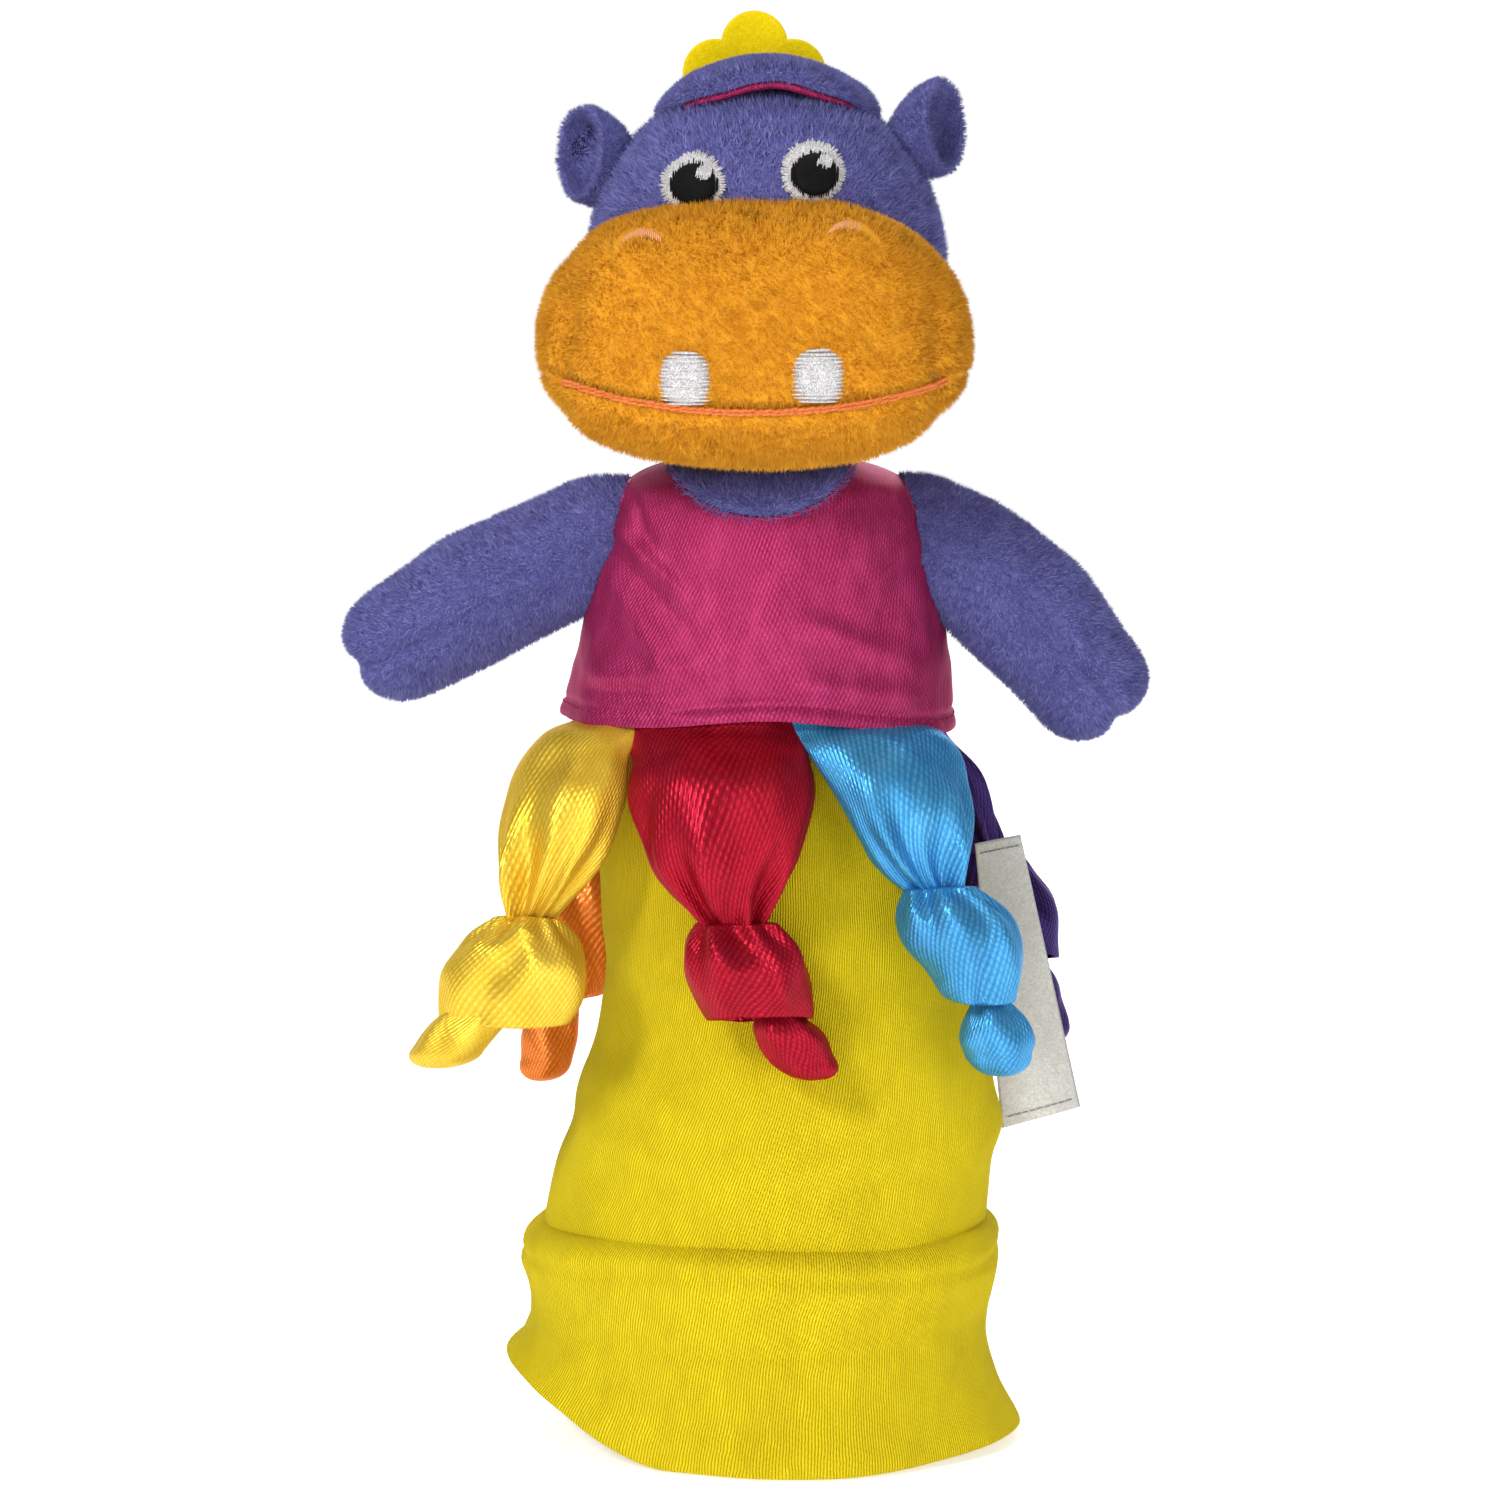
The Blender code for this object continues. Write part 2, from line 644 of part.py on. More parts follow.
def make_hat(parent):
    """A plush disc with a rounded edge over a satin lining, both draped over the crown."""
    layers = (
        ("hat_top", "plush", ((0.0, 0.30), (0.0, 1.0), (0.3, 1.05), (0.75, 1.03), (1.0, 0.90), (1.0, 0.30))),
        ("hat_lining", "satin", ((0.0, 0.30), (0.0, 0.96), (1.0, 0.96), (1.0, 0.30))),
    )
    for name, colour, profile in layers:
        thick = HAT_PILE if name == "hat_top" else SATIN
        low = 0.0 if name == "hat_top" else -SATIN - SEW_GAP
        rings = []
        for height, share in profile:
            reach = HAT_RADIUS * share
            points = level_ring(0, HAT_MIDDLE.x, reach, reach, 32)
            for point in points:
                point.y += HAT_MIDDLE.y
                point.z = HAT_MIDDLE.z - HAT_PILE + low + height * thick - drape(point.x, point.y)
            rings.append(points)
        new_object(name, skin(name, rings), colour, parent)


def make_flower(parent):
    """A felt flower standing behind the hat: one flat outline of round petals."""
    curve = bpy.data.curves.new("hat_flower", "CURVE")
    curve.dimensions = "2D"
    curve.fill_mode = "BOTH"
    curve.extrude = FELT / 2
    spline = curve.splines.new("POLY")
    count = FLOWER_PETALS * 12
    spline.points.add(count - 1)
    spline.use_cyclic_u = True
    for i, spot in enumerate(spline.points):
        turn = 2 * math.pi * i / count
        lobe = abs(math.cos(FLOWER_PETALS * turn / 2)) ** 0.6
        reach = FLOWER_RADIUS * (0.66 + 0.34 * lobe)
        spot.co = (reach * math.sin(turn), reach * math.cos(turn), 0, 1)
    guide = bpy.data.objects.new("flower_outline", curve)
    CUTTERS.objects.link(guide)
    bpy.context.view_layer.update()
    mesh = bpy.data.meshes.new_from_object(guide.evaluated_get(bpy.context.evaluated_depsgraph_get()))
    bpy.data.objects.remove(guide)
    work = bmesh.new()
    work.from_mesh(mesh)
    bmesh.ops.remove_doubles(work, verts=work.verts, dist=mm(0.01))
    for vertex in work.verts:
        x, up, y = vertex.co
        vertex.co = FLOWER_MIDDLE + Vector((x, y, up))
    bmesh.ops.recalc_face_normals(work, faces=work.faces)
    if work.calc_volume(signed=True) < 0:
        bmesh.ops.reverse_faces(work, faces=work.faces)
    new_object("hat_flower", mesh_of(work, "hat_flower"), "felt", parent)


def arm_rings(hinge, tip, inset, hole):
    """Rings from the round shoulder to the round tip; the first leaves a hole of the given share."""
    way = (tip - hinge).normalized()
    along = Vector((0, 1, 0))
    across = along.cross(way).normalized()
    along = way.cross(across)
    length = (tip - hinge).length
    rings = []

    def add(distance, radius):
        middle = hinge + way * distance
        rings.append(ring(middle, across, along, radius, radius * ARM_DEPTH, 18))

    shoulder = SHOULDER_RADIUS - inset
    for degrees in (hole, 45, 68, 90):
        turn = math.radians(degrees)
        add(-shoulder * math.cos(turn), shoulder * math.sin(turn))
    for share, swell in ((0.35, 1.05), (0.7, 1.06), (1.0, 0.96)):
        add(length * share, SHOULDER_RADIUS * swell - inset)
    end = SHOULDER_RADIUS * 0.96 - inset
    for degrees in (28, 52, 72, 84):
        turn = math.radians(degrees)
        add(length + end * math.sin(turn) * 0.96, end * math.cos(turn))
    return rings


def make_arm(side, hinge, tip, parent):
    """A plush cover, open where it is sewn at the armhole, and its wadding."""
    name = f"arm_{side}_cover"
    mesh = skin(name, arm_rings(hinge, tip, 0.0, 24), ends=False)
    work = bmesh.new()
    work.from_mesh(mesh)
    work.verts.ensure_lookup_table()
    work.faces.new(work.verts[-18:])
    cover = new_object(name, mesh_of(work, name), "plush", parent)
    add_solidify(cover, PLUSH)
    name = f"arm_{side}_stuffing"
    rings = arm_rings(hinge, tip, PLUSH + SEW_GAP * 2, 24)
    new_object(name, skin(name, rings), "wadding", parent)


def ribbon_frame(stations, i):
    """Ring directions at one station: level, across the ribbon, and outwards through it."""
    low = Vector(stations[min(i + 1, len(stations) - 1)][:3])
    high = Vector(stations[max(i - 1, 0)][:3])
    way = (low - high).normalized()
    _, middle, half_width, half_depth = VEST_SECTIONS[0]
    x, y = stations[0][:2]
    out = Vector(((x - middle) / half_width**2, y / half_depth**2, 0)).normalized()
    across = Vector((-out.y, out.x, 0))
    return across, way.cross(across).normalized()


def make_ribbon(colour, parent):
    """A satin tube from the vest's hem: puffed, gathered, knotted and ending in a round tail."""
    stations = RIBBONS[colour]
    rings = []
    for i, (x, y, z, half_width, half_depth) in enumerate(stations):
        across, along = ribbon_frame(stations, i)
        rings.append(ring(mm(x, y, z), across, along, mm(half_width), mm(half_depth), 16))
    across, along = ribbon_frame(stations, len(stations) - 1)
    x, y, z, half_width, half_depth = stations[-1]
    way = across.cross(along)
    rings.append(
        ring(mm(x, y, z) + way * mm(2.4), across, along, mm(half_width) * 0.5, mm(half_depth) * 0.5, 16)
    )
    name = f"ribbon_{colour}"
    return new_object(name, skin(name, rings), colour, parent)


def make_label(parent):
    """The folded woven label, a flat leaf with its inner edge at the side seam."""
    work = bmesh.new()
    rows = []
    for y in (LABEL_Y, LABEL_Y + LABEL_THICKNESS):
        rows.append([work.verts.new((corner.x, y, corner.y)) for corner in LABEL_CORNERS])
    work.faces.new(rows[0])
    work.faces.new(list(reversed(rows[1])))
    for i in range(4):
        j = (i + 1) % 4
        work.faces.new((rows[0][j], rows[0][i], rows[1][i], rows[1][j]))
    bmesh.ops.recalc_face_normals(work, faces=work.faces)
    return new_object("side_label", mesh_of(work, "side_label"), "white_thread", parent)


def build():
    sleeve = new_empty("sleeve", Vector(), PUPPET)
    make_cuff(sleeve)
    make_sock_lower(sleeve)

    upper = new_empty("upper_body", WRIST, sleeve)
    make_sock_upper(upper)
    make_torso(upper)
    make_vest(upper)

    for side, hinge, tip in ARMS:
        make_arm(side, hinge, tip, new_empty(f"arm_{side}", hinge, upper))
    for colour, stations in RIBBONS.items():
        make_ribbon(colour, new_empty(f"{colour}_swing", mm(*stations[0][:3]), upper))
    top, low = LABEL_CORNERS[0], LABEL_CORNERS[3]
    seam = Vector(((top.x + low.x) / 2, LABEL_Y + LABEL_THICKNESS / 2, (top.y + low.y) / 2))
    make_label(new_empty("label_flap", seam, upper))

    neck = new_empty("neck", Vector((NECK.x, NECK.y, NECK_SPAN[0])), upper)
    make_neck(neck)
    head = new_empty("head", NECK, neck)
    make_head(head)
    make_snout(head)
    make_stitching(head)
    make_hat(head)
    make_flower(head)
    for side, middle, lean in EARS:
        root = middle - Vector((math.copysign(EAR_RADII.x * 0.6, middle.x), 0, 0))
        make_ear(side, middle, lean, new_empty(f"ear_{side}_flop", root, head))


build()
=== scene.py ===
import json
import math
import random

import bpy
import numpy as np
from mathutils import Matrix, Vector, noise


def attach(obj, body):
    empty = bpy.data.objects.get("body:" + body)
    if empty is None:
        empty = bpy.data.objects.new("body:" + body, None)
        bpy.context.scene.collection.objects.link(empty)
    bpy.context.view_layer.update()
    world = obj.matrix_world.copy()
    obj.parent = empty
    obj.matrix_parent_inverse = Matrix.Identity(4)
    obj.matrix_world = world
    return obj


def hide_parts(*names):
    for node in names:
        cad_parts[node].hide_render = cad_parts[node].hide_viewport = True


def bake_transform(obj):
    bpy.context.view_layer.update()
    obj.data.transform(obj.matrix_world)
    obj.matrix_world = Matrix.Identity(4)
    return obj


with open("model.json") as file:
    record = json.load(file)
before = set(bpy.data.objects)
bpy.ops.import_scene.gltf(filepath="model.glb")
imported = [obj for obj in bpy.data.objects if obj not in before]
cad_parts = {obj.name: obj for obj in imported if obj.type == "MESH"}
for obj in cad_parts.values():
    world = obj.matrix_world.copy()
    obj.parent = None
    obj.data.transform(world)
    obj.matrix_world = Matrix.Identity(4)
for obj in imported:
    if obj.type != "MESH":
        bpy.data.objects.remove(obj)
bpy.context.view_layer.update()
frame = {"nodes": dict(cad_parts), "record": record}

# ---------------------------------------------------------------- places and sizes, from the frame

JOINTS = {joint["name"]: joint for joint in frame["record"]["behaviour"]["joints"]}
# The wrist hinge stands this far from the middle of the cuff's rim, which the sizes below start from.
WRIST_FROM_RIM = Vector((0.005, 0, 0.057))
RIM = Vector(JOINTS["wrist_bend"]["pos_m"]) - WRIST_FROM_RIM


def placed(points):
    """Millimetres from the middle of the cuff's rim, as places in the frame."""
    return np.asarray(points, float) * 0.001 + np.array(RIM)


def measured(points):
    """Places in the frame, as millimetres from the middle of the cuff's rim."""
    return (np.asarray(points, float) - np.array(RIM)) * 1000


def spot(*point):
    return Vector(placed(point))


# The sleeve's outside, from inside the cuff to inside the vest: height, middle, half width, half depth
SLEEVE = (
    (3, 2.0, 49.8, 38.0), (11, 1.6, 46.6, 35.8), (22, 1.5, 44.4, 34.4), (33, 2.3, 45.4, 35.2),
    (42, 2.9, 46.0, 35.4), (57, 5.0, 45.2, 34.6), (70, 6.8, 43.8, 33.2), (80, 7.8, 41.0, 32.0),
    (95, 8.2, 38.6, 30.4), (110, 7.0, 38.0, 29.0), (124, 5.0, 36.4, 27.6), (140, 3.0, 34.4, 26.0),
    (157, 2.4, 32.4, 24.4),
)
CUFF = (
    (0, 2.0, 54.0, 42.0), (4, 1.8, 52.4, 41.0), (11, 1.6, 50.0, 39.2), (22, 1.5, 47.9, 37.8),
    (31, 2.1, 48.6, 38.4), (38, 2.6, 50.0, 39.6), (43, 2.7, 49.6, 39.2), (46, 2.9, 47.6, 37.2),
)
CUFF_TURN = math.radians(-12)
VEST = (
    (146, 1.6, 41.2, 30.8), (150.5, 1.8, 40.4, 30.2), (158, 2.2, 39.2, 29.4), (167, 2.7, 37.6, 28.2),
    (178, 3.2, 35.8, 26.4), (187, 3.4, 34.2, 24.6), (194, 3.4, 32.2, 22.4), (199, 3.2, 28.6, 20.0),
    (202, 3.1, 22.0, 16.6), (203.4, 3.1, 17.0, 13.6),
)
# The vest's neckline, left armhole and right armhole: middle and radii
ARMHOLE = (13.4, 17.0)
HOLES = (((2.2, 207.0), (19.2, 14.4)), ((-38.6, 202.0), ARMHOLE), ((45.0, 202.0), ARMHOLE))
# Middle, radii, how square, and how much narrower at the top
HEAD = ((3.5, 0, 242.0), (35.5, 33.0, 37.0), 2.06, 0.0)
SNOUT = ((0.9, -26.0, 229.1), (42.2, 27.0, 26.5), 2.45, 0.04)
MOUTH = (215.5, 5.5, 37.5)
TEETH = (("left", -12.6, 222.3), ("right", 13.2, 222.8))
TOOTH = (5.1, 5.4)
NOSTRILS = (("left", -21.8, 248.0, 0.9), ("right", 20.0, 249.6, -0.9))
EYES = (("left", -11.4, 259.6), ("right", 12.4, 261.6))
EYE = 6.5
PUPIL = 4.75
EARS = (("left", (-33.8, 0.5, 265.0), 8, -1, 0.78), ("right", (38.8, 0.5, 270.6), 12, 1, 0.84))
HAT = (3.6, 1.0, 284.2)
HAT_RADIUS = 20.6
FLOWER = (0.9, 25.4, 279.0)
# Arms: the shoulder, then middle, half height and half depth at stations from inside the vest to the hoof
ARMS = (
    (
        "left", (-44.5, 0, 184.0),
        (
            (-17, 0, 191.5, 6, 6), (-28.5, 0, 187.4, 12.4, 9.2), (-42.5, -1, 181.2, 12.2, 11.2),
            (-57, -2.4, 174.2, 12.8, 11.8), (-70, -4.6, 167.0, 11.4, 10.6),
        ),
    ),
    (
        "right", (51.0, 0, 180.6),
        (
            (20, 0, 191.5, 6, 6), (32, 0, 187.6, 12.4, 9.2), (44.5, -1, 182.2, 12.2, 11.2),
            (57.4, -2.4, 171.4, 13.2, 11.8), (68.0, -4.6, 159.4, 12.0, 10.8),
        ),
    ),
)
# Ribbons: the way each one faces, then middle, half width and half depth at stations down its puffed
# length, its knot's loop and its tail
RIBBONS = {
    "yellow": (
        (-0.74, -0.67), (-0.30, -0.95),
        (
            (-27.6, -14.4, 156, 9.4, 0.7), (-29.4, -15.6, 150.5, 10.2, 1.3), (-34.8, -17.4, 145.5, 12.6, 4.8),
            (-36.6, -21.2, 138, 13.4, 7.8), (-39.2, -24.6, 129, 12.4, 8.0), (-42.0, -27.4, 120, 8.8, 6.4),
            (-44.6, -29.2, 111.5, 3.8, 3.4),
        ),
        ((-44.4, -29.6, 113, 6.4, 4.8), (-46.8, -31, 104, 10.6, 6.6), (-49.8, -32, 92.6, 14.2, 6.2)),
        ((-52.5, -31.5, 97, 7.2, 4.8), (-58.0, -31, 90.6, 7.6, 5.6), (-61.2, -30.6, 86.0, 7.0, 5.2)),
    ),
    "red": (
        (-0.12, -0.99), (0.05, -1.0),
        (
            (-7.6, -26.4, 156, 17.6, 0.7), (-7.4, -27.6, 150.5, 17.8, 1.4), (-6.6, -30.6, 145.5, 18.4, 4.4),
            (-5.6, -34.6, 138, 18.4, 7.2), (-5.4, -37.2, 127, 15.2, 7.4), (-4.4, -38.4, 119, 10.6, 6.0),
            (-2.6, -39.0, 112.0, 5.6, 4.0),
        ),
        ((-2.6, -39.4, 113.6, 8.2, 5.6), (-0.8, -40.2, 104, 9.4, 7.4), (1.8, -40.0, 94.0, 10.4, 7.0)),
        ((4.4, -40, 97, 6.6, 4.8), (8.2, -39.6, 90.4, 7.0, 5.4), (10.6, -39, 85.8, 6.4, 5.0)),
    ),
    "blue": (
        (0.46, -0.89), (0.35, -0.94),
        (
            (23.6, -21.4, 156, 16.2, 0.7), (24.6, -22.4, 150.5, 16.2, 1.4), (28.0, -25.4, 145.5, 15.8, 4.4),
            (31.4, -28.8, 136.5, 14.0, 7.0), (34.4, -30.6, 127, 10.8, 6.4), (37.8, -31.8, 118.0, 5.0, 3.8),
        ),
        ((37.8, -32.2, 119.5, 7.2, 5.4), (42.4, -32.2, 109.5, 9.0, 7.2), (46.8, -31.6, 97.5, 7.6, 6.2)),
        ((47.4, -31.4, 98, 4.8, 4.2), (49.4, -31, 90.4, 7.6, 6.0), (49.8, -30.4, 85.4, 6.8, 5.6)),
    ),
    "orange": (
        (-0.43, 0.90), (-0.40, 0.92),
        (
            (-18.6, 22.6, 156, 15.2, 0.7), (-19.4, 24.0, 150.5, 15.4, 1.4), (-21.6, 28.0, 145.5, 15.2, 4.2),
            (-25.2, 32.0, 138, 14.4, 6.4), (-30.2, 33.8, 127, 10.6, 6.4), (-34, 33.2, 117, 5.6, 4.6),
        ),
        ((-34, 33.4, 118, 6.4, 5.2), (-36.2, 32.4, 104, 8.8, 7.0), (-38.4, 30.4, 87.5, 8.8, 6.2)),
        ((-40.4, 29, 90, 5.2, 4.2), (-42.6, 27.4, 80, 6.0, 5.0), (-43.6, 26.4, 73.0, 5.4, 4.6)),
    ),
    "purple": (
        (0.44, 0.90), (0.50, 0.87),
        (
            (22.4, 22.4, 156, 14.2, 0.7), (23.4, 23.6, 150.5, 14.6, 1.4), (27.0, 27.8, 145.5, 14.6, 4.2),
            (32.6, 31.4, 138, 13.8, 6.2), (40.8, 33.2, 127.5, 10.4, 6.4), (47.6, 32.4, 118, 5.8, 4.8),
        ),
        ((47.6, 32.4, 119, 6.4, 5.2), (53.6, 31.0, 107, 8.8, 7.0), (57.6, 28.8, 95.5, 8.8, 6.2)),
        ((57.8, 28.4, 97, 5.2, 4.2), (60.6, 26.6, 87.4, 6.0, 5.0), (62.2, 25.4, 81, 5.2, 4.4)),
    ),
}
LABEL_CORNERS = ((46.6, 123.0), (56.0, 125.0), (69.0, 67.5), (52.6, 63.0))
LABEL_Y = 3.0

# ---------------------------------------------------------------- fabrics


class Level:
    """A value on its way through a fabric's nodes. Sums on it add Math nodes."""

    def __init__(self, fabric, socket):
        self.fabric = fabric
        self.socket = socket

    def math(self, operation, first, second=0.0, third=0.0):
        return self.fabric.add("ShaderNodeMath", {"operation": operation}, {0: first, 1: second, 2: third})

    def __add__(self, other):
        return self.math("ADD", self, other)

    __radd__ = __add__

    def __sub__(self, other):
        return self.math("SUBTRACT", self, other)

    def __rsub__(self, other):
        return self.math("SUBTRACT", other, self)

    def __mul__(self, other):
        return self.math("MULTIPLY", self, other)

    __rmul__ = __mul__

    def __truediv__(self, other):
        return self.math("DIVIDE", self, other)

    def __pow__(self, other):
        return self.math("POWER", self, other)

    def fraction(self):
        return self.math("FRACT", self)

    def size(self):
        return self.math("ABSOLUTE", self)

    def wave(self):
        return self.math("SINE", self)

    def eased(self, low, high):
        """0 below low, 1 above high and smooth between."""
        return self.fabric.add(
            "ShaderNodeMapRange",
            {"interpolation_type": "SMOOTHSTEP"},
            {"Value": self, "From Min": low, "From Max": high},
        )


class Fabric:
    """One procedural fabric: its material, and the shader its nodes feed."""

    def __init__(self, name, roughness=0.85, sheen=0.0, sheen_tint=(1, 1, 1), specular=0.4):
        self.material = bpy.data.materials.new(name)
        self.material.use_nodes = True
        self.tree = self.material.node_tree
        self.shader = self.tree.nodes["Principled BSDF"]
        self.feed("Roughness", roughness)
        self.feed("Sheen Weight", sheen)
        self.feed("Sheen Roughness", 0.5)
        self.feed("Sheen Tint", (*sheen_tint, 1))
        self.feed("Specular IOR Level", specular)

    def add(self, kind, settings=None, inputs=None, output=0):
        """Any node: its settings first, then the values or links of its sockets."""
        node = self.tree.nodes.new(kind)
        for name, value in (settings or {}).items():
            setattr(node, name, value)
        for key, value in (inputs or {}).items():
            self.join(node.inputs[key], value)
        return Level(self, node.outputs[output])

    def join(self, socket, value):
        if isinstance(value, Level):
            self.tree.links.new(value.socket, socket)
        else:
            socket.default_value = value

    def feed(self, name, value):
        self.join(self.shader.inputs[name], value)

    def ground(self):
        return self.add("ShaderNodeTexCoord", output=3)

    def weave(self):
        """The cloth's own measure along and across its threads, in millimetres."""
        cloth = self.add("ShaderNodeUVMap", {"uv_map": "weave"})
        return (
            self.add("ShaderNodeSeparateXYZ", inputs={0: cloth}),
            self.add("ShaderNodeSeparateXYZ", inputs={0: cloth}, output=1),
        )

    def cloud(self, scale, detail=2.0, rough=0.5, on=None, stretch=None):
        """Soft noise; scale is how many lumps to a metre."""
        on = on or self.ground()
        if stretch:
            on = self.add("ShaderNodeMapping", inputs={"Vector": on, "Scale": stretch})
        inputs = {"Vector": on, "Scale": scale, "Detail": detail, "Roughness": rough}
        return self.add("ShaderNodeTexNoise", inputs=inputs)

    def blend(self, share, first, second):
        """A colour between two, by share."""
        colours = [value if isinstance(value, Level) else (*value, 1) for value in (first, second)]
        inputs = {0: share, 6: colours[0], 7: colours[1]}
        return self.add("ShaderNodeMix", {"data_type": "RGBA"}, inputs, output=2)

    def relief(self, height, depth, strength=1.0):
        """Fine relief, depth in metres."""
        inputs = {"Strength": strength, "Distance": depth, "Height": height}
        self.feed("Normal", self.add("ShaderNodeBump", inputs=inputs))


def make_plush(name, deep, middle, pale, tint):
    """The pile's ground: mottled where the nap lies one way or the other."""
    fabric = Fabric(name, roughness=0.9, sheen=0.3, sheen_tint=tint, specular=0.15)
    patches = fabric.cloud(300, 3, 0.6)
    tufts = fabric.cloud(2400, 2, 0.6)
    colour = fabric.blend(patches.eased(0.3, 0.7), deep, middle)
    fabric.feed("Base Color", fabric.blend(tufts.eased(0.4, 0.75) * 0.5, colour, pale))
    fabric.relief(tufts + patches * 0.5, 0.0005)
    return fabric.material


def make_fibre(name, colour, tint):
    """One shade of the pile's fibres."""
    fabric = Fabric(name, roughness=0.8, sheen=0.5, sheen_tint=tint, specular=0.1)
    fabric.feed("Base Color", (*colour, 1))
    return fabric.material


def make_satin(name, deep, bright, roughness=0.34, gloss=0.5):
    """Glossy twill: short slanting floats of thread in crossing rows, with a painted highlight on each float's back
    and painted glints and streaks of sheen.
    """
    fabric = Fabric(name, roughness=roughness, sheen=0.05, sheen_tint=bright, specular=0.5)
    fabric.feed("Specular Tint", (*(0.25 + 0.75 * np.array(bright) / max(bright)), 1))
    fabric.feed("Metallic", gloss)
    across, along = fabric.weave()
    floats = (across * 7.47 - along * 2.72).wave() * 0.5 + 0.5
    rows = (across * 4.56 + along * 3.44).wave() * 0.5 + 0.5
    back = floats * (rows * 0.5 + 0.5)
    speck = fabric.cloud(2300, 2, 0.6)
    highlight_streak = fabric.cloud(240, 3, 0.6, stretch=(1, 1, 0.4))
    # The base colour carries painted sheen: a painted highlight on each float's back, painted glinting specks and
    # long painted highlight streaks, over the satin's deep colour.
    lit = back.eased(0.05, 0.95) * 0.5 + speck.eased(0.35, 0.75) * 0.26 + highlight_streak.eased(0.4, 0.7) * 0.2
    fabric.feed("Base Color", fabric.blend(lit, deep, bright))
    fabric.feed("Roughness", roughness + (1 - back) * 0.14)
    fabric.relief(back + speck * 0.3, 0.00012, 0.8)
    return fabric.material


def make_knit(name, deep, middle, pale):
    """Fine stockinette: columns of steep Vs, with a painted shadow between the columns and at each loop's foot, and
    a painted highlight on each loop's crest.
    """
    fabric = Fabric(name, roughness=0.9, sheen=0.08, sheen_tint=pale, specular=0.1)
    across, along = fabric.weave()
    wander = (fabric.cloud(160, 2) - 0.5) * 0.9
    column = across + wander
    edge = (column.fraction() * 2 - 1).size()
    loop = (along / 1.12 - edge * 1.15 + wander + (column - column.fraction()) * 0.41).fraction()
    leg = 1 - (edge * 2 - 1).size() ** 1.6
    crest = 1 - (loop * 2 - 1).size() ** 2.2
    yarn = leg * (crest * 0.5 + 0.5)
    fuzz = fabric.cloud(4200, 2, 0.6)
    slub = fabric.cloud(90, 3, 0.55)
    # Painted shadow between the loops, then a painted highlight on the yarn's crests with random paler fuzz.
    colour = fabric.blend(yarn.eased(0.02, 0.34), deep, middle)
    colour = fabric.blend(yarn.eased(0.5, 0.9) * 0.6 + fuzz.eased(0.55, 0.8) * 0.25, colour, pale)
    fabric.feed("Base Color", fabric.blend(slub.eased(0.4, 0.7) * 0.12, colour, deep))
    fabric.relief(yarn + fuzz * 0.2, 0.0005, 1.0)
    return fabric.material


def make_felt(name, deep, pale):
    """Pressed felt: short fibres lying every way."""
    fabric = Fabric(name, roughness=0.95, sheen=0.4, sheen_tint=pale, specular=0.1)
    lying = fabric.cloud(2600, 3, 0.7, stretch=(1, 1, 0.4))
    crossing = fabric.cloud(2300, 3, 0.7, stretch=(0.35, 1, 1))
    clumps = fabric.cloud(330, 2)
    felted = lying * 0.5 + crossing * 0.5
    colour = fabric.blend(felted.eased(0.35, 0.65), deep, pale)
    fabric.feed("Base Color", fabric.blend(clumps.eased(0.45, 0.75) * 0.3, colour, deep))
    fabric.relief(felted + clumps * 0.4, 0.0005, 0.8)
    return fabric.material


def make_thread(name, deep, pale, roughness=0.45, specular=0.35):
    """Embroidery thread, with the gloss and fine filaments of rayon."""
    fabric = Fabric(name, roughness=roughness, sheen=0.08, sheen_tint=pale, specular=specular)
    filament = fabric.cloud(3800, 2, 0.6)
    slub = fabric.cloud(600, 2)
    colour = fabric.blend(filament.eased(0.3, 0.7), deep, pale)
    fabric.feed("Base Color", fabric.blend(slub.eased(0.4, 0.75) * 0.35, colour, deep))
    fabric.relief(filament, 0.00012, 0.7)
    return fabric.material


def make_wadding(name):
    fabric = Fabric(name, roughness=1.0, sheen=0.3, specular=0.1)
    tangle = fabric.cloud(900, 5, 0.7)
    fabric.feed("Base Color", fabric.blend(tangle.eased(0.3, 0.7), (0.62, 0.61, 0.58), (0.86, 0.86, 0.84)))
    fabric.relief(tangle, 0.0012)
    return fabric.material


def make_tape(name):
    """Woven label tape: very fine crossing threads."""
    fabric = Fabric(name, roughness=0.55, sheen=0.2, specular=0.4)
    across, along = fabric.weave()
    warp = (across * 11.0).wave()
    weft = (along * 11.0).wave()
    grid = warp * weft
    speck = fabric.cloud(1900, 3, 0.7)
    cloudy = fabric.cloud(120, 2)
    colour = fabric.blend(speck.eased(0.3, 0.75), (0.50, 0.49, 0.46), (0.70, 0.69, 0.66))
    fabric.feed("Base Color", fabric.blend(cloudy.eased(0.4, 0.7) * 0.25, colour, (0.44, 0.43, 0.41)))
    fabric.relief(grid * 0.4 + speck, 0.00012, 0.7)
    return fabric.material


def make_floor(name, colour):
    fabric = Fabric(name, roughness=0.9, specular=0.1)
    grain = fabric.cloud(35, 3)
    lighter = tuple(min(c * 1.02, 1) for c in colour)
    fabric.feed("Base Color", fabric.blend(grain.eased(0.3, 0.7), colour, lighter))
    fabric.feed("Emission Color", (1, 1, 1, 1))
    fabric.feed("Emission Strength", 0.55)
    return fabric.material


VIOLET_DEEP = (0.092, 0.088, 0.280)
VIOLET = (0.132, 0.132, 0.375)
VIOLET_PALE = (0.215, 0.220, 0.500)
ORANGE_DEEP = (0.740, 0.300, 0.012)
ORANGE = (0.800, 0.345, 0.018)
ORANGE_PALE = (0.900, 0.460, 0.048)
MAGENTA_DEEP = (0.205, 0.005, 0.048)
MAGENTA = (0.530, 0.050, 0.175)

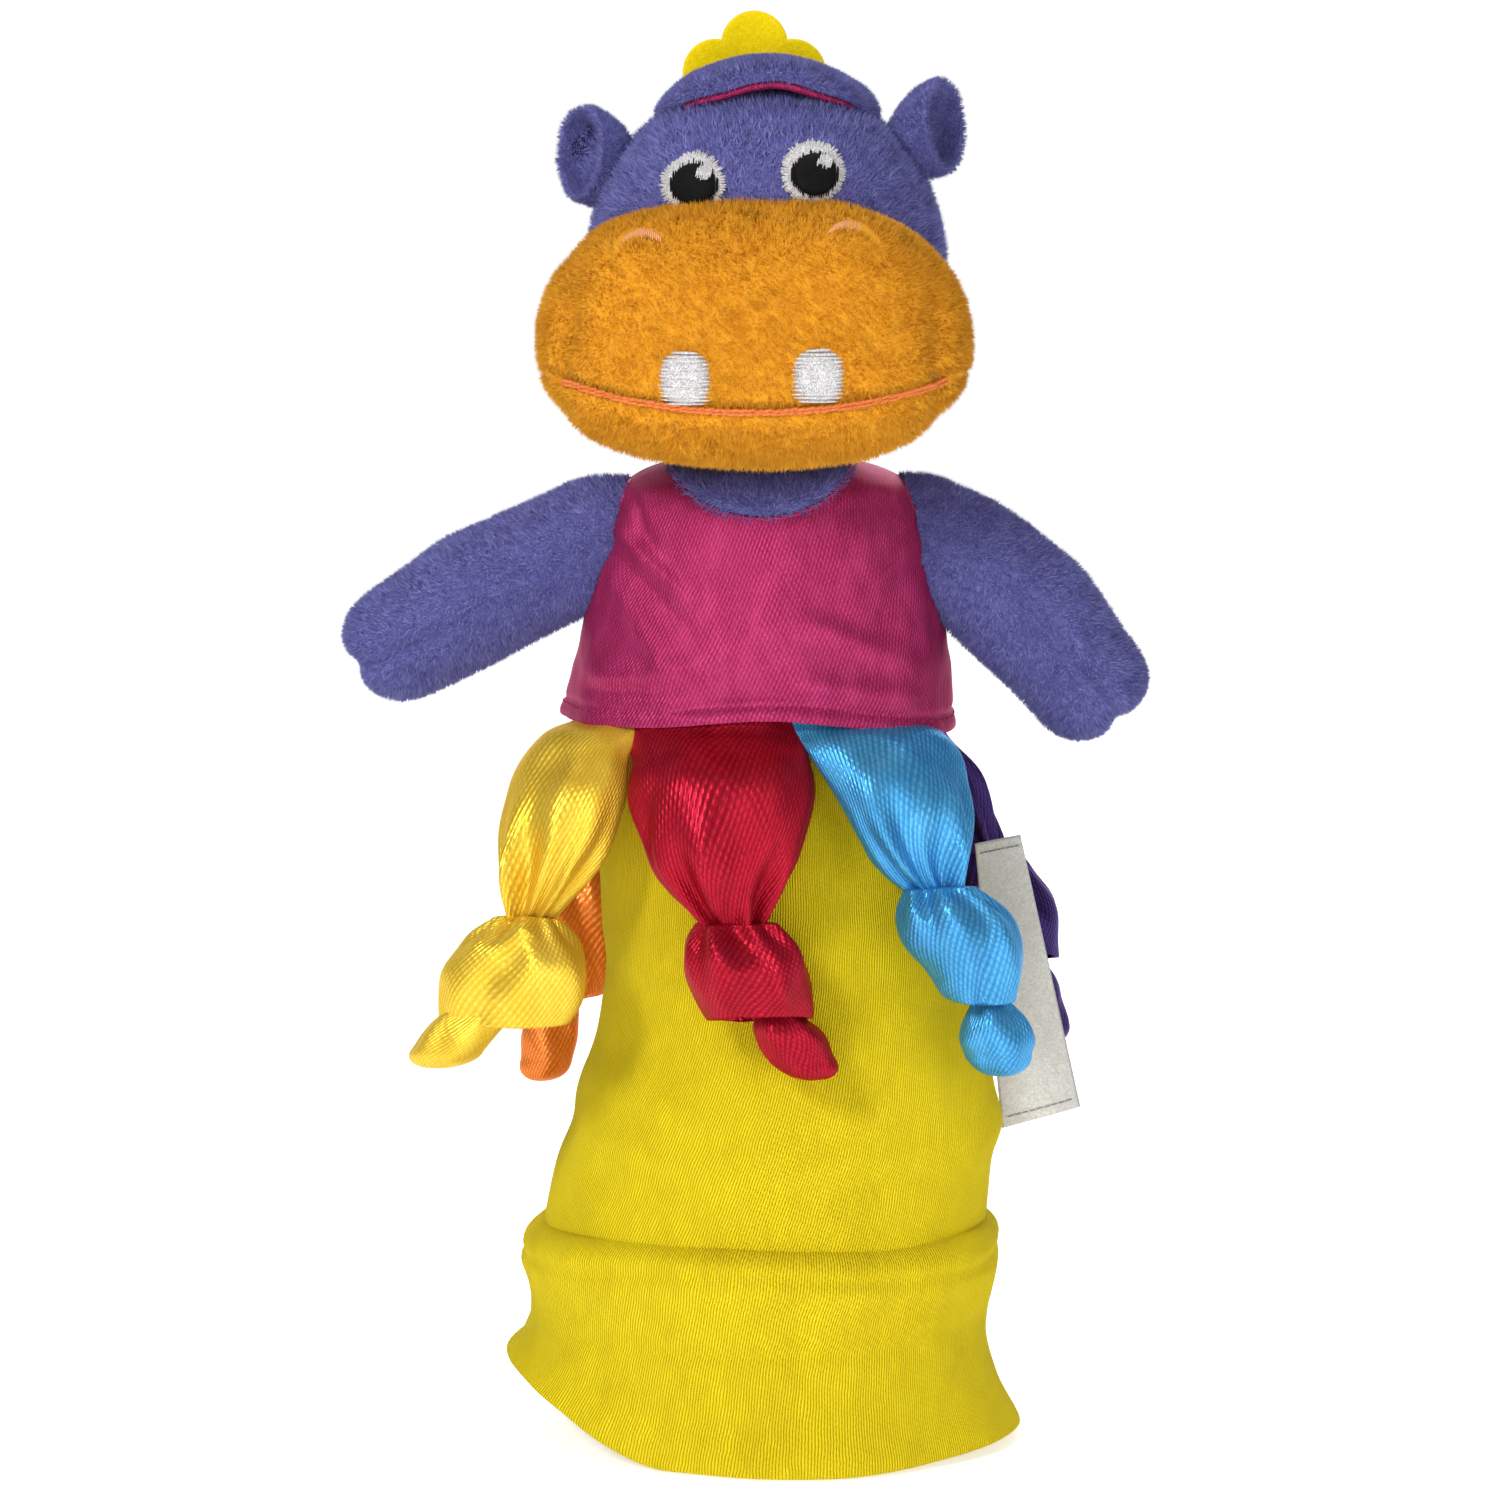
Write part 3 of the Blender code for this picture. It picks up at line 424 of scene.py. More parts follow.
violet_plush = make_plush("violet_plush", VIOLET_DEEP, VIOLET, VIOLET_PALE, VIOLET_PALE)
orange_plush = make_plush("orange_plush", ORANGE_DEEP, ORANGE, ORANGE_PALE, ORANGE_PALE)
violet_pile = [
    make_fibre("violet_pile_deep", (0.088, 0.084, 0.270), VIOLET_PALE),
    make_fibre("violet_pile", (0.140, 0.138, 0.385), VIOLET_PALE),
    make_fibre("violet_pile_pale", (0.220, 0.222, 0.500), VIOLET_PALE),
]
orange_pile = [
    make_fibre("orange_pile_deep", (0.630, 0.210, 0.008), ORANGE_PALE),
    make_fibre("orange_pile", (0.740, 0.290, 0.014), ORANGE_PALE),
    make_fibre("orange_pile_pale", (0.830, 0.385, 0.034), ORANGE_PALE),
]
magenta_satin = make_satin("magenta_satin", MAGENTA_DEEP, MAGENTA, 0.36, 0.45)
ribbon_satins = {
    "yellow": make_satin("yellow_satin", (0.640, 0.390, 0.016), (0.930, 0.690, 0.100), 0.28, 0.6),
    "red": make_satin("red_satin", (0.220, 0.002, 0.010), (0.560, 0.016, 0.044), 0.28, 0.6),
    "blue": make_satin("blue_satin", (0.030, 0.190, 0.430), (0.120, 0.500, 0.860), 0.28, 0.6),
    "orange": make_satin("orange_satin", (0.600, 0.130, 0.012), (0.930, 0.330, 0.090), 0.28, 0.6),
    "purple": make_satin("purple_satin", (0.016, 0.006, 0.050), (0.060, 0.030, 0.160), 0.28, 0.6),
}
yellow_knit = make_knit("yellow_knit", (0.460, 0.270, 0.001), (1.0, 0.750, 0.004), (1.0, 0.900, 0.042))
yellow_felt = make_felt("yellow_felt", (0.800, 0.560, 0.003), (0.960, 0.740, 0.008))
white_thread = make_thread("white_thread", (0.28, 0.27, 0.27), (0.80, 0.78, 0.79))
black_thread = make_thread("black_thread", (0.002, 0.002, 0.002), (0.008, 0.008, 0.010), 0.7, 0.1)
salmon_thread = make_thread("salmon_thread", (0.760, 0.270, 0.060), (0.950, 0.480, 0.210))
mouth_thread = make_thread("mouth_thread", (0.560, 0.110, 0.016), (0.840, 0.260, 0.060))
wadding = make_wadding("wadding")
label_tape = make_tape("label_tape")

# ---------------------------------------------------------------- shaping cloth


def eased(stations, at):
    """Values on a smooth line through the stations, whose first column is the place along it."""
    table = np.array(stations, float)
    places, values = table[:, 0], table[:, 1:]
    slopes = np.gradient(values, places, axis=0)
    at = np.asarray(at, float)
    i = np.clip(np.searchsorted(places, at) - 1, 0, len(places) - 2)
    width = (places[i + 1] - places[i])[:, None]
    t = np.clip((at - places[i])[:, None] / width, 0, 1)
    rise = t * t * (3 - 2 * t)
    return (
        values[i] * (1 - rise)
        + values[i + 1] * rise
        + slopes[i] * width * (t**3 - 2 * t**2 + t)
        + slopes[i + 1] * width * (t**3 - t**2)
    )


def spaced(stations):
    """Stations with an even place, from 0 to 1, put before each one's values."""
    return np.column_stack([np.linspace(0, 1, len(stations)), np.array(stations, float)])


def hump(distance, width):
    """1 in the middle, falling smoothly to nothing over about the width."""
    return np.exp(-((distance / width) ** 2))


def step(value, low, high):
    t = np.clip((value - low) / (high - low), 0, 1)
    return t * t * (3 - 2 * t)


def lumps(points, size, seed=0.0):
    """Smooth noise from -1 to 1 at points in millimetres, with lumps of about the given size."""
    shift = Vector((seed * 7.3, seed * 3.1, seed * 5.7))
    return np.array([noise.noise(Vector(point) / size + shift) for point in points])


def points_of(piece):
    points = np.empty(len(piece.data.vertices) * 3)
    piece.data.vertices.foreach_get("co", points)
    return points.reshape(-1, 3)


def set_points(piece, points):
    piece.data.vertices.foreach_set("co", np.asarray(points, float).ravel())
    piece.data.update()


def normals_of(piece):
    normals = np.empty(len(piece.data.vertices) * 3)
    piece.data.vertex_normals.foreach_get("vector", normals)
    return normals.reshape(-1, 3)


def alone(piece):
    bpy.ops.object.select_all(action="DESELECT")
    piece.select_set(True)
    bpy.context.view_layer.objects.active = piece


def edit(piece, operation, **settings):
    """Runs one mesh operation on the whole of a piece."""
    alone(piece)
    bpy.ops.object.mode_set(mode="EDIT")
    bpy.ops.mesh.select_all(action="SELECT")
    operation(**settings)
    bpy.ops.object.mode_set(mode="OBJECT")


def turn_outwards(piece):
    edit(piece, bpy.ops.mesh.normals_make_consistent, inside=False)


def put_in_scene(name, data):
    thing = bpy.data.objects.new(name, data)
    bpy.context.scene.collection.objects.link(thing)
    return thing


def built(name, points, faces, finish):
    """A piece from points in millimetres and faces with any number of corners."""
    mesh = bpy.data.meshes.new(name)
    mesh.from_pydata([tuple(p) for p in placed(points)], [], faces)
    mesh.materials.append(finish)
    mesh.shade_smooth()
    return put_in_scene(name, mesh)


def cloth(name, around, along, shape, size, finish):
    """A grid of cloth shaped by shape(u, v), which gives millimetres; size is its flat width and length."""
    bpy.ops.object.select_all(action="DESELECT")
    bpy.ops.mesh.primitive_grid_add(x_subdivisions=around, y_subdivisions=along, size=1)
    piece = bpy.context.object
    piece.name = name
    flat = points_of(piece)
    u, v = np.clip(flat[:, 0] + 0.5, 0, 1), np.clip(flat[:, 1] + 0.5, 0, 1)
    set_points(piece, placed(shape(u, v)))
    lay = piece.data.uv_layers[0]
    lay.name = "weave"
    marks = np.empty(len(piece.data.loops) * 2)
    lay.data.foreach_get("uv", marks)
    lay.data.foreach_set("uv", (marks.reshape(-1, 2) * np.array(size)).ravel())
    edit(piece, bpy.ops.mesh.remove_doubles, threshold=0.000004)
    turn_outwards(piece)
    piece.data.materials.append(finish)
    piece.data.shade_smooth()
    return piece


def ball(name, around, rows, shape, finish):
    """A ball shaped by shape(points), which takes a unit ball's points and gives millimetres."""
    bpy.ops.object.select_all(action="DESELECT")
    bpy.ops.mesh.primitive_uv_sphere_add(segments=around, ring_count=rows, radius=1)
    piece = bpy.context.object
    piece.name = name
    set_points(piece, placed(shape(points_of(piece))))
    piece.data.uv_layers[0].name = "weave"
    piece.data.materials.append(finish)
    piece.data.shade_smooth()
    return piece


def finish_with(piece, kind, **settings):
    """Adds a modifier and applies it."""
    alone(piece)
    modifier = piece.modifiers.new(kind.title(), kind)
    for name, value in settings.items():
        setattr(modifier, name, value)
    bpy.ops.object.modifier_apply(modifier=modifier.name)


def give_wall(piece, thickness):
    finish_with(piece, "SOLIDIFY", thickness=thickness * 0.001, offset=-1, use_even_offset=False)


def cut_below(piece, height):
    """Removes the cloth under a height in millimetres."""
    level = (0, 0, placed((0, 0, height))[2])
    edit(piece, bpy.ops.mesh.bisect, plane_co=level, plane_no=(0, 0, -1), clear_outer=True)


def joined(pieces, name):
    """Several meshes as one piece."""
    bpy.ops.object.select_all(action="DESELECT")
    for piece in pieces:
        piece.select_set(True)
    bpy.context.view_layer.objects.active = pieces[0]
    bpy.ops.object.join()
    pieces[0].name = name
    return pieces[0]


def new_piece(name, points, faces, finishes, which=None):
    """A piece from points in millimetres and faces that all have the same number of corners."""
    faces = np.asarray(faces)
    mesh = bpy.data.meshes.new(name)
    mesh.vertices.add(len(points))
    mesh.vertices.foreach_set("co", placed(points).ravel())
    corners = faces.shape[1]
    mesh.loops.add(faces.size)
    mesh.loops.foreach_set("vertex_index", faces.ravel())
    mesh.polygons.add(len(faces))
    mesh.polygons.foreach_set("loop_start", np.arange(len(faces)) * corners)
    mesh.polygons.foreach_set("loop_total", np.full(len(faces), corners))
    for finish in finishes:
        mesh.materials.append(finish)
    if which is not None:
        mesh.polygons.foreach_set("material_index", which)
    mesh.update(calc_edges=True)
    mesh.shade_smooth()
    return put_in_scene(name, mesh)


def grow_pile(
    name, skin, count, length, finishes, seed, keep=None, comb=(0, 0, -0.35), ruffle=0.4, width=0.16
):
    """Short fibres over a skin: each a closed spike, combed a little and leaning with its neighbours."""
    draw = np.random.default_rng(seed)
    mesh = skin.data
    mesh.calc_loop_triangles()
    triangles = np.empty(len(mesh.loop_triangles) * 3, int)
    mesh.loop_triangles.foreach_get("vertices", triangles)
    triangles = triangles.reshape(-1, 3)
    points, normals = measured(points_of(skin)), normals_of(skin)
    a, b, c = (points[triangles[:, i]] for i in range(3))
    areas = np.linalg.norm(np.cross(b - a, c - a), axis=1)
    chosen = draw.choice(len(triangles), count, p=areas / areas.sum())
    r, s = np.sqrt(draw.random(count)), draw.random(count)
    shares = np.stack([1 - r, r * (1 - s), r * s], 1)
    roots = sum(shares[:, i, None] * points[triangles[chosen, i]] for i in range(3))
    up = sum(shares[:, i, None] * normals[triangles[chosen, i]] for i in range(3))
    up /= np.linalg.norm(up, axis=1, keepdims=True)
    if keep is not None:
        kept = keep(roots, up)
        roots, up = roots[kept], up[kept]
    count = len(roots)
    swirl = np.stack([lumps(roots, 4.5, seed + k) for k in (1, 2, 3)], 1) * 1.3
    lean = np.array(comb) + swirl * ruffle + draw.normal(0, 0.34, (count, 3))
    lean -= up * (lean * up).sum(1, keepdims=True)
    way = up + lean
    way /= np.linalg.norm(way, axis=1, keepdims=True)
    side = np.cross(way, draw.normal(0, 1, (count, 3)))
    side /= np.linalg.norm(side, axis=1, keepdims=True)
    other = np.cross(way, side)
    reach = length * draw.uniform(0.7, 1.15, (count, 1))
    foot = roots - up * 0.3
    corners = [
        foot + width * (math.cos(t) * side + math.sin(t) * other) for t in (0, math.tau / 3, math.tau * 2 / 3)
    ]
    corners.append(roots + way * reach)
    spikes = np.stack(corners, 1).reshape(-1, 3)
    first = np.arange(count)[:, None] * 4
    faces = np.concatenate([first + np.array(f) for f in ((0, 1, 3), (1, 2, 3), (2, 0, 3), (2, 1, 0))], 1)
    tone = swirl[:, 0] * 0.3 + lumps(roots, 1.2, seed + 5) * 0.6 + draw.normal(0, 0.7, count)
    shade = np.digitize(tone, (-0.42, 0.62))
    piece = new_piece(name, spikes, faces.reshape(-1, 3), finishes, np.repeat(shade, 4))
    piece.data.normals_split_custom_set_from_vertices(np.repeat(up, 4, axis=0))
    return piece


STITCH = ((0.0, 0.25, -0.5), (0.12, 0.8, 0.1), (0.5, 1.0, 0.5), (0.88, 0.8, 0.1), (1.0, 0.25, -0.5))


def sew(name, stitches, finish, sides=7, flatten=0.6):
    """Stitches, each (from, to, outwards, half thickness): low rounded strands that taper at both ends."""
    points, quads, ends = [], [], []
    for start, end, out, thick in stitches:
        start, end, out = (np.array(p, float) for p in (start, end, out))
        way = end - start
        side = np.cross(way, out)
        side /= np.linalg.norm(side) or 1
        first = len(points)
        for share, swell, lift in STITCH:
            middle = start + way * share + out * lift * thick
            for t in (math.tau * i / sides for i in range(sides)):
                wide, high = side * math.cos(t) * thick * swell, out * math.sin(t) * thick * swell * flatten
                points.append(middle + wide + high)
        for row in range(len(STITCH) - 1):
            low, high = first + row * sides, first + (row + 1) * sides
            for i in range(sides):
                j = (i + 1) % sides
                quads.append((low + i, high + i, high + j, low + j))
        for base in (first, first + (len(STITCH) - 1) * sides):
            middle = len(points)
            points.append(sum(points[base : base + sides]) / sides)
            for i in range(sides):
                around = (base + i, base + (i + 1) % sides)
                ends.append((*(around if base == first else around[::-1]), middle))
    piece = built(name, points, quads + ends, finish)
    turn_outwards(piece)
    return piece


def unit(vectors):
    return vectors / np.linalg.norm(vectors, axis=-1, keepdims=True)


def wall(sections, z, angle, grow=0.0):
    """Points on an upright wall of oval sections."""
    x, a, b = eased(sections, z).T
    return np.stack([x + (a + grow) * np.cos(angle), (b + grow) * np.sin(angle), z + 0 * x], 1)


def outward(turn):
    """The level way out from the middle at an angle."""
    return np.stack([np.cos(turn), np.sin(turn), 0 * turn], 1)


def angle_of(u):
    """The way round an upright wall, with its seam at the back."""
    return math.tau * u + math.pi / 2


# ---------------------------------------------------------------- sleeve and cuff


def rim_lift(turn):
    """How far the cuff's rim is turned up, most on its left."""
    return 16.0 * step(-np.cos(turn), 0.2, 1.0) + 1.8 * np.clip(np.cos(turn), 0, 1) ** 2


def sleeve_shape(u, v):
    turn = angle_of(u + 0.105 * v)
    start = 3 + rim_lift(turn)
    z = start + (157 - start) * v
    points = wall(SLEEVE, z, turn)
    out = outward(turn)
    sag = lumps(points * np.array((1, 1, 0.7)), 26, 1) * 1.1 + lumps(points, 11, 2) * 0.35
    # Soft slanting folds where the sleeve drops into its cuff.
    slant = z - 62 - 5 * np.sin(turn * 2 + 1.0)
    fold = hump(slant, 4.5) * np.cos(turn * 3 + 0.5) * 1.3 - hump(slant - 10, 4) * np.cos(turn * 2 + 2.0) * 0.9
    return points + out * ((sag + fold) * step(z, 40, 60) * (1 - step(z, 135, 150)))[:, None]


sleeve = cloth("sleeve_knit", 220, 150, sleeve_shape, (232, 156), yellow_knit)
give_wall(sleeve, 1.5)
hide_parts("sock_lower", "sock_upper")
spot(5, 0, 44)
spot(5, 0, 70)
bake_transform(sleeve)


def cuff_shape(u, v):
    """Up the outside from the rim, over the rolled fold and down inside."""
    turn = angle_of(u)
    up = eased(
        (
            (0.0, 1.0, -2.6), (0.03, 0.0, -1.3), (0.07, 0.4, 0.0), (0.2, 11, 0.0), (0.34, 24, 0.0),
            (0.42, 33, 0.0), (0.50, 41, 0.1), (0.55, 45.0, -1.2), (0.58, 45.6, -2.6), (0.62, 44.0, -3.4),
            (0.7, 36, -2.4), (0.82, 22, -2.3), (0.94, 8, -2.3), (1.0, 1.0, -2.6),
        ),
        v,
    )
    z, inwards = up.T
    yaw = CUFF_TURN * (1 - np.clip(z, 0, 46) / 60)
    points = wall(CUFF, np.clip(z, 0, 46), turn, inwards)
    x, y = points[:, 0] - 2.0, points[:, 1]
    points[:, 0] = 2.0 + x * np.cos(yaw) - y * np.sin(yaw)
    points[:, 1] = x * np.sin(yaw) + y * np.cos(yaw)
    points[:, 2] = z
    out = outward(turn + yaw)
    crease = 27 - 5.5 * hump((turn - 3.9) % math.tau, 0.9) + 2 * np.sin(turn * 2)
    outside = step(v, 0.05, 0.1) * (1 - step(v, 0.56, 0.6))
    fold = -1.1 * hump(z - crease, 1.8) * (0.5 + 0.5 * np.sin(turn * 1.5 + 0.6)) ** 2
    fold = fold - 0.9 * hump(z - 39.6 - 1.2 * np.sin(turn * 3), 1.5)
    wave = 0.9 * np.sin(turn * 5 + 1.1) * step(22 - z, 0, 20) + lumps(points, 12, 3) * 0.7
    wave += lumps(points * np.array((1, 1, 1.6)), 21, 31) * 1.5 * step(z, 26, 38)
    points = points + out * ((fold * outside + wave)[:, None])
    lift = rim_lift(turn)
    points[:, 2] += (lift + 0.5 * (1 + np.sin(turn * 4 + 2)) * 0.5) * (1 - np.clip(z, 0, 30) / 30) ** 1.3
    points[:, 2] += 0.8 * np.sin(turn * 3 + 1) * step(z, 36, 44)
    return points


cuff = cloth("cuff_knit", 240, 110, cuff_shape, (256, 84), yellow_knit)
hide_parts("sock_cuff")
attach(cuff, "sleeve")

# ---------------------------------------------------------------- upper body and vest


def torso_shape(u, v):
    turn = angle_of(u)
    table = (
        (0.0, 159.0, -6.5), (0.08, 160.5, -4.2), (0.2, 166.0, -2.6), (0.4, 176, -1.6), (0.6, 187, -1.2),
        (0.8, 197, -1.2), (0.9, 201.0, -1.2), (0.96, 202.4, -1.4), (1.0, 203.0, -3.4),
    )
    z, inwards = eased(table, v).T
    points = wall(VEST, z, turn, inwards)
    out = outward(turn)
    # It swells out of the neckline and the armholes.
    swell = 0.0
    for (middle_x, middle_z), (reach_x, reach_z) in HOLES:
        within = 1 - np.hypot((points[:, 0] - middle_x) / reach_x, (points[:, 2] - middle_z) / reach_z)
        swell = swell + 2.6 * step(within, -0.05, 0.16) * step(204 - points[:, 2], 0, 4)
    return points + out * (lumps(points, 9, 4) * 0.35 + swell)[:, None]


torso = cloth("torso_plush_skin", 120, 60, torso_shape, (230, 60), violet_plush)


def outside_vest(points, _):
    """Where the torso's plush shows, and a little under the edges of the vest's holes."""
    slack = 0.9
    shows = np.zeros(len(points), bool)
    for (middle_x, middle_z), (reach_x, reach_z) in HOLES:
        aside, above = points[:, 0] - middle_x, points[:, 2] - middle_z
        shows |= (aside / (reach_x + slack)) ** 2 + (above / (reach_z + slack)) ** 2 < 1
    return shows


torso_pile = grow_pile("torso_pile", torso, 60000, 1.9, violet_pile, 11, outside_vest, (0, 0, 0.1))
give_wall(torso, 2.0)
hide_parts("torso_plush")
for piece in (torso, torso_pile):
    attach(piece, "upper_body")

HEM = (
    (-180, 150.6), (-150, 150.4), (-120, 150.9), (-100, 152.2), (-85, 152.6), (-70, 151.6), (-50, 149.6),
    (-30, 148.2), (0, 148.6), (40, 150.2), (90, 151.0), (140, 150.4), (180, 150.6),
)


def vest_relief(points, turn, hem):
    """How far the satin stands off the plain body: folds, creases and the turned hem."""
    x, y, z = points.T
    drape = lumps(np.stack([x, y, z * 0.5], 1), 12, 6) * 0.9 + lumps(points, 5, 7) * 0.3
    # Folds pulled from the armholes towards the chest, and belly folds above the hem.
    pulls = 0.0
    for start, end, width, height in (
        ((-27, 190), (-14, 178), 1.5, 1.1), ((-28, 186), (-12, 170), 1.8, -0.9),
        ((-30, 182), (-18, 164), 2.0, 0.8),
        ((34, 188), (22, 176), 1.7, 0.9), ((35, 184), (24, 168), 2.0, -0.7), ((-24, 197), (-20, 186), 1.2, -0.7),
        ((-32, 160), (-6, 164), 2.4, 0.9), ((-33, 157), (-10, 158), 1.8, -0.7), ((10, 160), (33, 156), 2.4, 0.8),
        ((-14, 155.5), (16, 156.5), 1.8, -0.6), ((12, 172), (30, 164), 2.2, 0.7),
    ):
        way = np.array(end, float) - np.array(start, float)
        reach = np.linalg.norm(way)
        way /= reach
        along = (x - start[0]) * way[0] + (z - start[1]) * way[1]
        aside = (x - start[0]) * way[1] - (z - start[1]) * way[0]
        ending = 1 - step(along, reach * 0.6, reach * 1.3)
        pulls = pulls + height * hump(aside, width) * step(along, -3, 3) * ending
    above = z - hem
    turned = 0.35 * hump(above - 1.0, 1.4) - 0.35 * hump(above - 3.4, 0.7)
    turned = turned + 0.2 * np.sin(turn * 9) * hump(above, 3)
    return drape + pulls * step(-y, -4, 6) + turned


def hem_height(turn):
    return eased(HEM, (np.degrees(turn) + 180) % 360 - 180)[:, 0]


def on_vest(angle, z, lift):
    """Points on the vest, lifted off it."""
    points = wall(VEST, z, angle)
    out = outward(angle)
    return points + out * (vest_relief(points, angle, hem_height(angle)) + lift)[:, None]


def vest_shape(u, v):
    turn = angle_of(u)
    hem = hem_height(turn)
    return on_vest(turn, hem + (203.2 - hem) * v, 0.0)


vest = cloth("vest_satin", 300, 96, vest_shape, (232, 53), magenta_satin)
give_wall(vest, 0.8)


def rod(middle, radii, name):
    """A long oval rod that cuts a hole through front and back."""
    bpy.ops.object.select_all(action="DESELECT")
    bpy.ops.mesh.primitive_cylinder_add(vertices=72, radius=1, depth=1, rotation=(math.pi / 2, 0, 0))
    piece = bpy.context.object
    piece.name = name
    bpy.ops.object.transform_apply(location=False, rotation=True, scale=False)
    points = points_of(piece) * np.array((radii[0], 150, radii[1])) + np.array((middle[0], 0, middle[1]))
    set_points(piece, placed(points))
    return piece


for i, (middle, radii) in enumerate(HOLES):
    cutter = rod(middle, radii, f"vest_hole_{i}")
    finish_with(vest, "BOOLEAN", operation="DIFFERENCE", solver="EXACT", object=cutter)
    bpy.data.objects.remove(cutter)
alone(vest)
bpy.ops.object.shade_smooth_by_angle(angle=math.radians(50))
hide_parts("vest_front", "vest_back")
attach(vest, "upper_body")


def tube(name, path, radius, finish, sides=8):
    """A round cord through points in millimetres, with its ends closed."""
    path = np.array(path, float)
    count = len(path)
    ways = unit(np.gradient(path, axis=0))
    out = unit(np.cross(ways, np.cross(ways, np.array((0.03, -1.0, 0.07)))))
    side = np.cross(ways, out)
    points = [
        path + radius * (math.cos(t) * out + math.sin(t) * side)
        for t in np.linspace(0, math.tau, sides, endpoint=False)
    ]
    points = np.stack(points, 1).reshape(-1, 3)
    faces = []
    for i in range(count - 1):
        j = i + 1
        for k in range(sides):
            m = (k + 1) % sides
            faces.append((i * sides + k, i * sides + m, j * sides + m, j * sides + k))
    caps = [tuple(range(sides)), tuple(range(count * sides - 1, (count - 1) * sides - 1, -1))]
    piece = built(name, points, faces + caps, finish)
    mesh = piece.data
    weave = mesh.uv_layers.new(name="weave")
    loops = np.empty(len(mesh.loops), int)
    mesh.loops.foreach_get("vertex_index", loops)
    marks = np.stack([(loops % sides) / sides * math.tau * radius, (loops // sides) * 0.8], 1)
    weave.data.foreach_set("uv", marks.ravel())
    turn_outwards(piece)
    return piece


def hole_edge(middle, radii, start, end, facing, count=60, lift=0.1):
    """The line where a hole through the vest meets its front (facing -1) or its back."""
    path = []
    for t in np.linspace(math.radians(start), math.radians(end), count):
        x, z = middle[0] + radii[0] * math.cos(t), middle[1] + radii[1] * math.sin(t)
        if z > 202.8:
            continue
        centre, a, b = eased(VEST, np.array([z]))[0]
        inside = 1 - ((x - centre) / (a + lift)) ** 2
        if inside <= 0:
            continue
        turn = math.atan2(facing * math.sqrt(inside), (x - centre) / (a + lift))
        path.append(on_vest(np.array([turn]), np.array([z]), lift)[0])
    return path


# The part of each hole's edge that has a binding, in degrees
HOLE_EDGES = ((180, 360, "neck"), (-90, 60, "left"), (270, 120, "right"))
edges = []
for facing, word in ((-1, "front"), (1, "back")):
    for (middle, radii), (start, end, where) in zip(HOLES, HOLE_EDGES):
        path = hole_edge(middle, radii, start, end, facing, lift=-0.3)
        if len(path) > 4:
            edges.append(tube(f"edge_{where}_{word}", path, 0.62, magenta_satin))
binding = joined(edges, "vest_binding")
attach(binding, "upper_body")

hem_stitches = []
for i in range(84):
    angle = math.tau * i / 84
    ends = np.array((angle - 0.012, angle + 0.012))
    a, b = on_vest(ends, hem_height(ends) + 2.7, 0.1)
    hem_stitches.append((a, b, (math.cos(angle), math.sin(angle), 0), 0.22))
hem_thread = sew("vest_hem_stitches", hem_stitches, magenta_satin, 6)
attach(hem_thread, "upper_body")


def neck_shape(u, v):
    """A short throat that flares onto the shoulders below and under the head above."""
    turn = angle_of(u)
    table = (
        (0.0, 197.5, 15.5, 12.5), (0.2, 200.5, 16.6, 13.6), (0.45, 204.5, 15.6, 13.4), (0.7, 208.5, 16.4, 14.4),
        (0.9, 212.0, 17.6, 15.6), (1.0, 213.5, 17.0, 15.0),
    )
    z, a, b = eased(table, v).T
    points = np.stack([3.2 + a * np.cos(turn), b * np.sin(turn), z], 1)
    out = outward(turn)
    return points + out * (lumps(points, 7, 8) * 0.4)[:, None]


neck = cloth("neck_plush_skin", 72, 24, neck_shape, (100, 18), violet_plush)
neck_pile = grow_pile("neck_pile", neck, 11000, 1.9, violet_pile, 12, comb=(0, 0, -0.2))
give_wall(neck, 1.6)
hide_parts("neck_plush")
for piece in (neck, neck_pile):
    spot(3.2, 0, 203)
    spot(3.2, 0, 211)
    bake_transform(piece)

# ---------------------------------------------------------------- head and snout


def narrowing(form, z):
    middle, radii, _, taper = form
    return 1 - taper * np.clip((z - middle[2]) / radii[2], -1, 1)


def swollen(points, form, grow=0.0):
    """A unit ball's points on a form that is swollen towards a box."""
    middle, radii, power, _ = form
    size = (np.abs(points) ** power).sum(1, keepdims=True) ** (-1 / power)
    surface = points * size * (np.array(radii) + grow)
    surface[:, 0] *= narrowing(form, surface[:, 2] + middle[2])
    return np.array(middle) + surface


def front(form, x, z, grow=0.0):
    """How far forward the form reaches at x and z."""
    (mx, my, mz), (rx, ry, rz), power, _ = form
    used = (np.abs(x - mx) / narrowing(form, z) / (rx + grow)) ** power
    used = used + (np.abs(z - mz) / (rz + grow)) ** power
    return my - (ry + grow) * np.clip(1 - used, 0, 1) ** (1 / power)


def in_form(points, form, grow=0.0):
    middle, radii, power, _ = form
    away = points - np.array(middle)
    away[:, 0] /= narrowing(form, points[:, 2])
    return ((np.abs(away) / (np.array(radii) + grow)) ** power).sum(1) < 1


def head_shape(points):
    surface = swollen(points, HEAD)
    out = unit(surface - np.array(HEAD[0]))
    brow = 0.0
    for _, x, z in EYES:
        near = hump(np.hypot(surface[:, 0] - x, surface[:, 2] - z - 3), 9)
        brow = brow + 1.3 * near * step(-surface[:, 1], 0, 12)
    return surface + out * (lumps(surface, 14, 9) * 0.7 + brow)[:, None]


def head_front(x, z, lift=0.0):
    brow = sum(1.3 * hump(np.hypot(x - ex, z - ez - 3), 9) for _, ex, ez in EYES)
    return front(HEAD, x, z, lift) - brow * 0.8


def hat_droop(x, y):
    return 8.0 * ((x - HAT[0]) / HAT_RADIUS) ** 2 + 2.0 * ((y - HAT[1]) / HAT_RADIUS) ** 2


